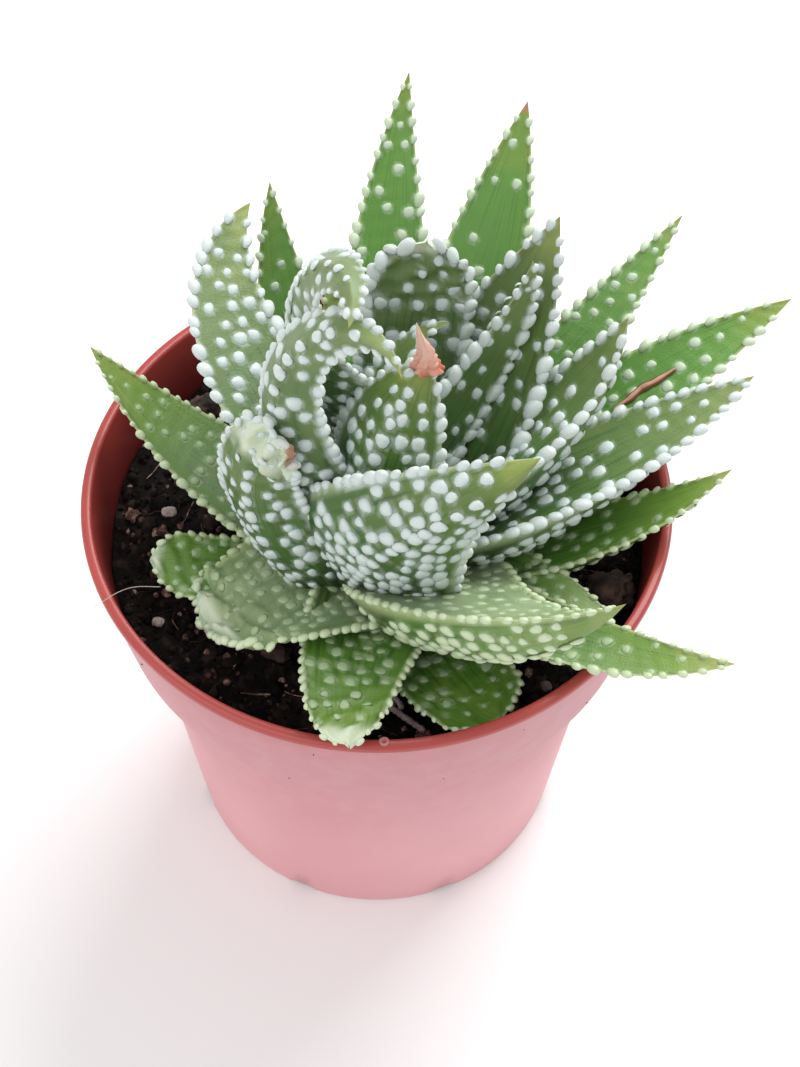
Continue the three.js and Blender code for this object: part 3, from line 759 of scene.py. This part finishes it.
def field(leaf, spine, random, pitch, radius, above, share, first=0.06, *, last):
    """Staggered rows over one face: t, angle and radius of each tubercle."""
    t = rows_along(leaf, spine, math.pi / 2, pitch * 0.9, first, last)[:, None]
    w, d = half_width(leaf, t), keel_depth(leaf, t) * (0.15 if above else 1)
    step = pitch / np.sqrt(w * w + d * d)
    column = np.arange(-MOST_COLUMNS, MOST_COLUMNS + 1) + 0.5 * (np.arange(len(t)) % 2)[:, None]
    column = column + random.uniform(-0.2, 0.2, column.shape)
    c = column * step
    t = t + random.uniform(-0.16, 0.16, c.shape) * pitch / leaf["length"]
    size = radius * random.uniform(0.75, 1.15, c.shape) * mix(0.85, 1, smooth(t / 0.35))
    size = size * mix(1, 0.65, smooth((t - 0.55) / 0.45))
    room = 1 - (size + 0.2 * leaf["lobe"]) / w
    keep = (np.abs(c) < room) & (random.uniform(0, 1, c.shape) < share)
    if not above:
        keep &= np.abs(c) > 0.45 * step
    angle = np.arccos(np.clip(c, -1, 1)) * (1 if above else -1)
    return t[keep], angle[keep], size[keep]


def seam(leaf, spine, random, pitch, radius, angle, last):
    """One row along a margin or the keel."""
    t = rows_along(leaf, spine, angle, pitch, 0.05, last)
    t = t + random.uniform(-0.2, 0.2, len(t)) * pitch / leaf["length"] * (t < 0.9)
    size = radius * random.uniform(0.68, 1.16, len(t)) * mix(0.7, 1, smooth(t / 0.3))
    size = np.minimum(size * mix(1, 0.7 + 0.3 * leaf["blunt"], smooth((t - 0.5) / 0.5)),
                      0.6 * half_width(leaf, t) + 0.4)
    return t, np.full(len(t), angle), size


def tubercles(surface, leaf, spine, random, spots, rings, shape, spin, whiteness):
    """One closed dome on each spot: rings of a profile, laid along the skin's own three directions.
    Shape is (along, across, height, egg, lean): egg widens the end that looks to the tip, and lean
    moves the top that way."""
    t, angle, size = spots
    forward, sideways, outward = skin_axes(leaf, spine, t, angle)
    spin = random.uniform(-spin, spin, len(t))[:, None]
    ahead = forward * np.cos(spin) + sideways * np.sin(spin)
    beside = sideways * np.cos(spin) - forward * np.sin(spin)
    phi = circle(DOME_SIDES)
    ahead_part = np.sign(np.cos(phi)) * np.abs(np.cos(phi)) ** 0.85
    side_part = np.sign(np.sin(phi)) * np.abs(np.sin(phi)) ** 0.85
    each = (len(t), 1, 1)
    egg = shape[3] + random.uniform(-0.18, 0.18, each)
    v = shape[1] * rings[:, :1] * side_part * (1 + egg * np.cos(phi))
    u = shape[0] * rings[:, :1] * ahead_part * random.uniform(0.9, 1.15, each)
    u = u + random.uniform(-0.2, 0.2, each) * v
    h = np.broadcast_to(rings[:, 1:], u.shape)
    local = np.stack([u + shape[4] * h, v, h], -1).reshape(len(t), -1, 3)
    end_heights = rings[0, 1], rings[-1, 1] + 0.03
    ends = np.array([(shape[4] * height, 0, height) for height in end_heights])
    local = np.concatenate([local, np.broadcast_to(ends, (len(t), 2, 3))], 1)
    x, y, z = (size[:, None, None] * local[..., i:i + 1] for i in range(3))
    base = on_leaf(leaf, spine, t, angle)[:, None]
    points = base + x * ahead[:, None] + y * beside[:, None] + shape[2] * z * outward[:, None]
    count = local.shape[1]
    shift = (np.arange(len(t)) * count)[:, None, None]
    one = capped_rings(len(rings), DOME_SIDES, turned=True)
    faces = [(f[None] + shift).reshape(-1, f.shape[1]) for f in one]
    low, high, level = whiteness
    white = level * smooth((local[..., 2] - low) / (high - low)).ravel()
    along, across, face = (np.repeat(v, count) for v in (t, np.cos(angle), smooth(4 * np.sin(angle))))
    surface.add(points, faces, along=along, across=across, face=face, white=white)


# %% [markdown]
# The skin round a tubercle is paler too. That halo is worked out from the distance between each
# point of the skin and the tubercle nearest to it.

# %% leaf surface
SKIN_STEP = 0.65
SKIN_SIDES = 64
BATCH = 64
# each kind of leaf: the heights on a tubercle of its upper face where white starts and is full, and how
# white it gets; the same on its flanks and on its lobes; the strength of the pale halo round them; and
# how high the tubercles of the upper face stand, in radii
leaf_kinds = dict(
    heart=((-0.35, 0.0, 1), (-0.35, 0.0, 1), (-1.3, -0.9, 1), 0.5, 0.5),
    outer=((-0.3, 0.4, 0.85), (-0.3, 0.2, 1), (-1.2, -0.6, 0.9), 0.45, 0.5),
    low=((-0.3, 0.8, 0.55), (-0.3, 0.3, 1), (-1.2, 0.0, 0.95), 0.4, 0.36),
)
# along, across, height, egg and lean, as in tubercles()
FLANK_SHAPE = (1.15, 1.0, 0.58, 0.3, 0.3)
KEEL_SHAPE = (1.15, 1.05, 0.65, 0.2, 0.35)
LOBE_SHAPE = (1.15, 0.74, 0.95, 0.1, 0.35)


def skin(surface, leaf, spine, spots, halo):
    """The leaf's skin as a grid, closed at the root and the tip, with the halo of its tubercles."""
    rows = int(leaf["length"] / SKIN_STEP)
    t = (1 - (1 - np.arange(rows) / rows) ** 1.5)[:, None] + np.zeros(SKIN_SIDES)
    angle = circle(SKIN_SIDES) + np.zeros((rows, 1))
    points = on_leaf(leaf, spine, t, angle).reshape(-1, 3)
    root = spine["centre"][0] - 0.3 * leaf["thick"] * spine["top"][0]
    points = np.vstack([points, root, spine["centre"][-1]])
    centres = on_leaf(leaf, spine, *spots[:2])
    glow = np.zeros(len(points))
    for start in range(0, len(centres), BATCH):
        near, radii = centres[start:start + BATCH], spots[2][start:start + BATCH]
        away = np.linalg.norm(points[:, None] - near, axis=-1) / radii
        glow = np.maximum(glow, (halo * smooth((1.5 - away) / 0.5)).max(1))
    across = np.append(np.cos(angle), [0, 1])
    face = np.append(smooth(4 * np.sin(angle)), [0, 0])
    surface.add(points, capped_rings(rows, SKIN_SIDES, turned=True), along=np.append(t, [0, 1]),
                white=glow, across=across, face=face)


def leaf_surface(name):
    """The skin, and tubercles on both faces, the keel and the margins. Each leaf has its own seed."""
    leaf = leaves[name]
    spine = spine_of(leaf)
    random = np.random.default_rng(int(name[-2:]))
    face_white, flank_white, lobe_white, halo, face_height = leaf_kinds[leaf["kind"]]
    last, pitch, size = 0.94 - leaf["bare"], leaf["under"], leaf["size"]
    under = field(leaf, spine, random, pitch, size, False, 0.94, last=last)
    above = field(leaf, spine, random, leaf["top"], leaf["top_size"], True, 0.8, first=0.15, last=last)
    edge_last = min(0.995 - leaf["bare"], 0.995)
    margins = [seam(leaf, spine, random, leaf["margin"], leaf["lobe"], side, edge_last)
               for side in (0.0, math.pi)]
    lobes = [np.concatenate(part) for part in zip(*margins)]
    keel = seam(leaf, spine, random, pitch, size, -math.pi / 2, 0.9 - leaf["bare"])
    every = [np.concatenate(part) for part in zip(under, above, lobes, keel)]
    face_shape = (1.05, 1.1, face_height, 0.22, 0.25)
    surface = Surface()
    skin(surface, leaf, spine, every, halo)
    for spots, rings, shape, spin, whiteness in (
        (under, shield_rings, FLANK_SHAPE, 0.5, flank_white),
        (above, shield_rings, face_shape, 0.4, face_white),
        (keel, shield_rings, KEEL_SHAPE, 0.3, flank_white),
        (lobes, lobe_rings, LOBE_SHAPE, 0.1, lobe_white),
    ):
        tubercles(surface, leaf, spine, random, spots, rings, shape, spin, whiteness)
    return surface, len(every[0])


# %% [markdown]
# The leaf's green is painted dark at the root, a painted shade (on the low leaves also a brown stain),
# and goes to yellow green at the tip, and varies in soft patches. The heart leaves have a milky bloom
# and the whitest tubercles, the outer ones are a fresh green, and on the low ones the tubercles are
# only cream on top.

# %% leaf finishes
# half is the place along the leaf where the body's green is purest. root is painted shade at the base
# of the leaf, near black in the heart; on the low leaves it is also a brown stain
leaf_colours = {
    "heart": dict(
        half=0.34, root=(0.007, 0.026, 0.009), body=(0.04, 0.118, 0.016), warm=(0.115, 0.19, 0.034),
        tip=(0.27, 0.33, 0.07), edge=(0.4, 0.48, 0.28), white=(0.62, 0.69, 0.67)),
    "outer": dict(
        half=0.34, root=(0.02, 0.07, 0.012), body=(0.056, 0.185, 0.02), warm=(0.105, 0.255, 0.032),
        tip=(0.2, 0.28, 0.04), edge=(0.36, 0.48, 0.2), white=(0.56, 0.66, 0.5)),
    "low": dict(
        half=0.45, root=(0.035, 0.032, 0.022), body=(0.055, 0.16, 0.017), warm=(0.155, 0.275, 0.038),
        tip=(0.33, 0.38, 0.12), edge=(0.42, 0.5, 0.24), white=(0.56, 0.66, 0.44)),
}
BLOOM = (0.36, 0.44, 0.28)
CREAM = (0.6, 0.67, 0.5)
DRY_TIP = (0.36, 0.17, 0.1)


def leaf_build(colours):
    def build(tree):
        along, across = attribute(tree, "along"), attribute(tree, "across")
        patches = uneven(tree, 110.0, -0.1, 0.1)
        grain = node(tree, "ShaderNodeCombineXYZ", {
            0: math_node(tree, "MULTIPLY", across, 13.0), 1: math_node(tree, "MULTIPLY", along, 3.0)})
        streak_inputs = {"Vector": grain.outputs[0], "Scale": 1.0, "Detail": 3.0}
        streaks = node(tree, "ShaderNodeTexNoise", streak_inputs).outputs["Fac"]
        place = math_node(tree, "ADD", along, patches)
        # the root stop paints shade at the base of the leaf
        green = ramp(tree, place, [(0.05, colours["root"]), (colours["half"], colours["body"]),
                                   (0.82, colours["warm"]), (1.0, colours["tip"])])
        green = blend(tree, spread(tree, streaks, 0.42, 0.68, 0.0, 0.4), green, colours["warm"])
        green = blend(tree, spread(tree, streaks, 0.48, 0.3, 0.0, 0.45), green, colours["root"])
        milky = spread(tree, patches, -0.1, 0.1, 0.6, 1.0)
        green = blend(tree, math_node(tree, "MULTIPLY", attribute(tree, "bloom"), milky), green, BLOOM)
        side = math_node(tree, "ABSOLUTE", across)
        green = blend(tree, spread(tree, side, 0.86, 1.0, 0.0, 0.75), green, colours["edge"])
        bleached = math_node(tree, "ADD", attribute(tree, "cream"), patches)
        green = blend(tree, spread(tree, bleached, 0.1, 0.9), green, CREAM)
        colour = blend(tree, attribute(tree, "white"), green, colours["white"])
        return {
            "Base Color": blend(tree, attribute(tree, "dead"), colour, DRY_TIP),
            "Roughness": spread(tree, streaks, 0.3, 0.7, 0.36, 0.5),
            "Normal": use(tree, pores, Scale=2600.0, Depth=0.25),
        }
    return build


leaf_finishes = {
    kind: finish_of("leaf_" + kind, leaf_build(colours), Subsurface_Weight=0.12, Subsurface_Scale=0.002)
    for kind, colours in leaf_colours.items()
}

# %% grow the leaves
tubercle_count = 0
for name, leaf in leaves.items():
    surface, count = leaf_surface(name)
    along = np.concatenate(surface.values["along"])
    surface.values["dead"] = [smooth((along - 1 + leaf["dry"]) / 0.02) * (leaf["dry"] > 0)]
    face = np.concatenate(surface.values["face"])
    surface.values["bloom"] = [leaf["bloom"] * mix(0.1, 1.3, along) + leaf["face_bloom"] * face]
    surface.values["cream"] = [smooth((along - 1 + leaf["cream"]) / 0.1) * (leaf["cream"] > 0)]
    surface.values["along"] = [along * (1 - 0.25 * leaf["blunt"])]
    piece(name + "_skin", surface, leaf_finishes[leaf["kind"]], [name])
    tubercle_count += count
print("tubercles:", tubercle_count, "largest leaf:", max(made[3:], key=lambda m: m[1]))

# %% [markdown]
# ## Small things
# A dead end of a leaf dries to a folded pink curl. Dried roots and fibres lie on the soil, with bits
# of bark and perlite, and one leaf has an old scar. Roots, fibres, the curl and the scar are tubes
# along a smooth curve; lumps are dented balls.

# %% tubes
def curve(controls, steps):
    """A smooth curve through the control points: a Catmull-Rom spline, steps points to a stretch."""
    p = np.vstack([2 * controls[0] - controls[1], controls, 2 * controls[-1] - controls[-2]])
    s = np.linspace(0, 1, steps, endpoint=False)[None, :, None]
    a, b, c, d = (p[i:len(p) - 3 + i, None] for i in range(4))
    square, cube = 2 * a - 5 * b + 4 * c - d, 3 * b - a - 3 * c + d
    line = 0.5 * (2 * b + (c - a) * s + square * s ** 2 + cube * s ** 3)
    return np.vstack([line.reshape(-1, 3), controls[-1]])


def tube(surface, line, radius, sides, reference=UP, flat=1.0, **values):
    """A closed tube round a line. Its radius is one number, one for each point of the line, or one for
    each point of each ring, and its section can be flattened."""
    along = unit(np.gradient(line, axis=0))
    side = unit(np.cross(along, reference))
    up = np.cross(side, along)
    phi = circle(sides)
    r = np.asarray(radius, float)
    r = r if r.ndim == 2 else np.broadcast_to(r, len(line))[:, None]
    out, lift = (r * np.cos(phi))[..., None], (flat * r * np.sin(phi))[..., None]
    rings = (line[:, None] + out * side[:, None] + lift * up[:, None]).reshape(-1, 3)
    share = np.append(np.repeat(np.linspace(0, 1, len(line)), sides), [0, 1])
    faces = capped_rings(len(line), sides, turned=True)
    surface.add(np.vstack([rings, line[0], line[-1]]), faces, along=share, **values)


# %% dried tip, roots and fibres
def dried_colour(tree):
    place = math_node(tree, "ADD", attribute(tree, "along"), uneven(tree, 500.0, -0.15, 0.15))
    return ramp(tree, place, [(0.0, (0.5, 0.14, 0.08)), (0.2, (0.74, 0.36, 0.27)),
                              (0.6, (0.77, 0.47, 0.37)), (1.0, (0.78, 0.56, 0.46))])


def root_colour(tree):
    return blend(tree, uneven(tree, 600.0), (0.32, 0.23, 0.24), (0.56, 0.45, 0.46))


CURL_SIDES = 72
tip = spine_of(leaves["leaf_08"])
foot = tip["centre"][-1] - 2.2 * tip["along"][-1]
curl_path = [(0.5, 0.1, -0.6), (0.3, 0.1, 2.0), (0.3, 0.1, 4.2), (-0.5, 0.7, 6.4), (-1.3, 1.9, 9.2)]
curl_line = curve(foot + np.array(curl_path), 16)
share = np.linspace(0, 1, len(curl_line))[:, None]
width = np.interp(share, [0, 0.07, 0.16, 0.3, 0.55, 0.8, 1], [2.3, 2.6, 2.05, 1.9, 1.25, 0.6, 0.1])
phi = circle(CURL_SIDES)
creases = 0.34 * np.abs(np.sin(2.5 * phi + 1.2 + 1.1 * share)) + 0.1 * np.sin(9 * phi + 14 * share)
ruffle = 0.1 * np.sin(38 * share + 2 * np.sin(phi)) * smooth(1.1 - share)
curl = Surface()
tube(curl, curl_line, width * (0.8 + creases + ruffle), CURL_SIDES, np.array([0.0, 1, 0]), flat=0.6)
dried_finish = rough_finish(
    "dried_leaf", dried_colour, 2200.0, 0.5, Roughness=0.7, Subsurface_Weight=0.15, Subsurface_Scale=0.002)
piece("dried_tip_curl", curl, dried_finish, ["dried_tip"])

root_paths = dict(
    dried_root_front=(0.55, [(0.5, -39.2, 77.2), (2.8, -38.5, 78.2), (5.6, -40.2, 77.8), (9, -42.4, 77.1)]),
    dried_root_short=(0.5, [(2.4, -34.8, 78.6), (3.3, -36.4, 79), (4.6, -37.6, 78.4), (5, -38.9, 78.9)]),
    dried_root_right=(0.42, [(33, -11.5, 75.6), (34.4, -8.6, 79), (33, -6.2, 80.4), (30.6, -5.2, 79.2)]),
)
root_finish = rough_finish("dried_root", root_colour, 2600.0, 0.7, Roughness=0.85)
for name, (radius, controls) in root_paths.items():
    line = curve(np.array(controls), 12)
    surface = Surface()
    tube(surface, line, radius * (1 + 0.12 * np.sin(1.9 * np.arange(len(line)))), 14)
    piece(name + "_skin", surface, root_finish, [name])

# %% fibres on the soil
FIBRES = 150
FIBRE_REACH = 45
FIBRE_LIMIT = 46.5
FIBRE_BENDS = 4
fibre_random = np.random.default_rng(23)
fibres = Surface()
starts = scatter(fibre_random, FIBRES, FIBRE_REACH)
headings = fibre_random.uniform(0, 2 * np.pi, FIBRES)
lengths = fibre_random.uniform(3, 9, FIBRES)
for place, heading, length in zip(starts, headings, lengths):
    turn = heading + np.cumsum(fibre_random.uniform(-0.7, 0.7, FIBRE_BENDS))
    steps = np.stack([np.cos(turn), np.sin(turn), 0 * turn], -1) * length / FIBRE_BENDS
    line = place + np.cumsum(steps, 0)
    line = line * np.minimum(1, FIBRE_LIMIT / np.linalg.norm(line[:, :2], axis=1))[:, None] ** [1, 1, 0]
    line[:, 2] = soil_height(line[:, 0], line[:, 1]) + fibre_random.uniform(0.2, 1.0, FIBRE_BENDS)
    tube(fibres, curve(line, 4), fibre_random.uniform(0.07, 0.17), 5, tone=fibre_random.uniform(0.7, 1))
piece("soil_fibres", fibres, crumb_finish)
hair_path = [(-47.5, -26.0, 88.9), (-44.0, -23.6, 89.6), (-41.0, -22.0, 89.2), (-36.8, -21.2, 88.2)]
hair = Surface()
tube(hair, curve(np.array(hair_path), 8), 0.07, 6)
hair_finish = finish_of("pale_fibre", lambda tree: {
    "Base Color": blend(tree, uneven(tree, 300.0), (0.4, 0.32, 0.3), (0.62, 0.54, 0.52))}, Roughness=0.8)
piece("pale_fibre", hair, hair_finish)

# %% bark, perlite and stem
bark_colour = mottled(330.0, [
    (0.0, (0.012, 0.008, 0.007)), (0.55, (0.045, 0.026, 0.02)), (1.0, (0.13, 0.075, 0.055))])


def perlite_colour(tree):
    clean = blend(tree, uneven(tree, 900.0), (0.38, 0.28, 0.26), (0.78, 0.66, 0.62))
    return blend(tree, attribute(tree, "stain"), clean, (0.05, 0.032, 0.026))


lumps = dict(
    bark_lump=((41.5, -14, 78.5), (4.6, 4.2, 3.6), "bark"),
    bark_chip=((-17, -27, 77), (3.2, 2.0, 1.4), "bark"),
    bark_chunk_back=((-33, 27, 77.5), (3.6, 3.0, 2.4), "bark"),
    perlite_left=((-38, 3, 77), (1.8, 1.5, 1.3), "perlite"),
    perlite_front=((-38, -21, 77), (1.6, 1.4, 1.2), "perlite"),
    perlite_right=((30, -33, 77), (1.5, 1.4, 1.2), "perlite"),
)
PERLITE_SCALE = 0.75
lump_finishes = {
    "bark": rough_finish("bark_brown", bark_colour, 1300.0, 1.0, Roughness=0.9),
    "perlite": rough_finish("perlite_white", perlite_colour, 2400.0, 1.0, Roughness=0.9),
}
for name, (place, size, kind) in lumps.items():
    ball, faces = icosphere(4)
    dent = 0.93 + 0.26 * rough(ball * size + np.array(place), 1.8)[:, None]
    surface = Surface()
    scale = PERLITE_SCALE if kind == "perlite" else 1
    surface.add(ball * dent * size * scale + place, [faces], stain=0.9 if name == "perlite_right" else 0.1)
    piece(name + "_skin", surface, lump_finishes[kind], [name])

STEM_SIDES = 48
STEM_FOOT = 66
STEM_TOP = 105
stem_profile = [(6, STEM_FOOT), (8, SOIL_TOP), (7, 89.4), (4, 102), (0.5, STEM_TOP - 0.2)]
stem_profile = subdivided(np.array(stem_profile), 2)
angle = circle(STEM_SIDES)
stem_radius = stem_profile[:, :1] * (1 + 0.04 * np.sin(7 * angle))
stem_points = around(stem_radius, stem_profile[:, 1:], angle, STEM).reshape(-1, 3)
stem_points = np.vstack([stem_points, (*STEM, STEM_FOOT), (*STEM, STEM_TOP)])
stem = Surface()
# along 0.05 gives the stem the root colour of the low leaves: painted shade and a brown stain
stem.add(stem_points, capped_rings(len(stem_profile), STEM_SIDES), along=0.05, white=0, across=0, face=0,
         dead=0, bloom=0, cream=0)
piece("stem_skin", stem, leaf_finishes["low"], ["stem"])

# %% marks on the pot
PIP_PLACE = (2.2, -51.1, 88.4)
PIP_SIZE = (0.9, 0.9, 0.25)
SPECKS = 26
ball, faces = icosphere(3)
from_middle = np.hypot(ball[:, 0], ball[:, 1])
dent = 0.2 * smooth((0.6 - from_middle) / 0.4) * (ball[:, 2] > 0)
pale = 0.25 + 0.6 * smooth((from_middle - 0.4) / 0.3)
pip = Surface()
pip.add(ball * PIP_SIZE - np.outer(dent, UP) + PIP_PLACE, [faces], dusty=pale, deep=0, low=0)
piece("rim_pip", pip, pot_finish)

speck_random = np.random.default_rng(31)
height = speck_random.uniform(66.5, 84, SPECKS)
angle = speck_random.uniform(0, 2 * np.pi, SPECKS)
wall = mix(COLLAR_FOOT_RADIUS, BEAD_FOOT_RADIUS, (height - COLLAR_FOOT) / (BEAD_FOOT - COLLAR_FOOT))
sizes = speck_random.uniform(0.1, 0.26, (SPECKS, 3))
specks = Surface()
strew(specks, around(wall, height, angle), sizes, speck_random, tone=np.full(SPECKS, 0.7))
piece("soil_specks", specks, crumb_finish)

# %% scar
SCAR_STEPS = 40
SCAR_MIDDLE = 140
scar_leaf = leaves["leaf_14"]
scar_spine = spine_of(scar_leaf)
scar_t = np.linspace(0.525, 0.69, SCAR_STEPS)
scar_c = np.interp(scar_t, [0.525, 0.568, 0.604, 0.636, 0.69], [-0.1, -0.09, -0.02, -0.07, -0.08])
scar_line = on_leaf(scar_leaf, scar_spine, scar_t, np.arccos(scar_c))
waver = 1 + 0.12 * np.sin(0.7 * np.arange(SCAR_STEPS))
scar_width = 0.8 * np.sin(np.linspace(0.15, 3.0, SCAR_STEPS)) ** 0.6 * waver
scar_lift = 0.25 * scar_spine["top"][SCAR_MIDDLE]
scar = Surface()
tube(scar, scar_line + scar_lift, scar_width, 12, flat=0.45, inner=0)
tube(scar, scar_line + 2 * scar_lift, 0.55 * scar_width, 10, flat=0.5, inner=1)


def scar_build(tree):
    healed = math_node(tree, "MULTIPLY", attribute(tree, "inner"), uneven(tree, 600.0, 0.6, 1.0))
    return {"Base Color": blend(tree, healed, (0.17, 0.05, 0.03), (0.6, 0.34, 0.22))}


piece("leaf_scar", scar, finish_of("scar", scar_build, Roughness=0.7))
print(made[-12:])

# %% [markdown]
# ## The stage
# A pale floor, a soft bright surround, a broad light from behind on the right, as in the photograph,
# and a weaker one from the front on the left. The camera looks steeply down.

# %% floor and light
FLOOR_REACH = 3
SURROUND_STRENGTH = 0.72
LIT_POINT = np.array([0, 0, 0.09])


def floor():
    mesh = bpy.data.meshes.new("floor")
    signs = ((-1, -1), (1, -1), (1, 1), (-1, 1))
    mesh.from_pydata([(x * FLOOR_REACH, y * FLOOR_REACH, 0) for x, y in signs], [], [(0, 1, 2, 3)])
    white = finish_of("floor_white", lambda tree: {}, Base_Color=(0.9, 0.9, 0.9, 1), Roughness=0.8)
    mesh.materials.append(white)
    thing = in_scene("floor", mesh)


def placed(thing, place, right, up, back):
    """Puts a light or a camera in its place, looking away from back."""
    axes = Matrix(np.column_stack([right, up, back]).tolist()).to_4x4()
    thing.matrix_world = Matrix.Translation(place) @ axes


def lamp(name, place, size, power):
    """A square area light that faces the middle of the plant."""
    light = bpy.data.lights.new(name, "AREA")
    light.size, light.energy = size, power
    back = unit(np.array(place) - LIT_POINT)
    right = unit(np.cross(UP, back))
    placed(in_scene(name, light), place, right, np.cross(back, right), back)


floor()
lamp("key", (0.35, 0.6, 0.8), 0.7, 10)
lamp("fill", (-0.5, -0.5, 0.7), 0.8, 3)
world = bpy.data.worlds.new("surround")
bpy.context.scene.world = world
world.use_nodes = True
surround = world.node_tree.nodes["Background"].inputs
surround["Color"].default_value = (1, 1, 1, 1)
surround["Strength"].default_value = SURROUND_STRENGTH

# %% camera
CAMERA_PLACE = (0.00421, -0.22962, 0.39741)
CAMERA_LENS = 73.2
ELEVATION = math.radians(54.5)
ROLL = math.radians(1.0)
back = np.array([0, -math.cos(ELEVATION), math.sin(ELEVATION)])
level = np.array([1.0, 0, 0])
upward = np.cross(back, level)
right = level * math.cos(ROLL) + upward * math.sin(ROLL)
up = -level * math.sin(ROLL) + upward * math.cos(ROLL)
lens = bpy.data.cameras.new("camera")
lens.lens = CAMERA_LENS
lens.clip_start = 0.01
camera = in_scene("camera", lens)
placed(camera, CAMERA_PLACE, right, up, back)
bpy.context.scene.camera = camera
bpy.context.scene.view_settings.view_transform = "Standard"

# %% finish
print("pieces:", len(made), "triangles added:", sum(count for _, count in made))
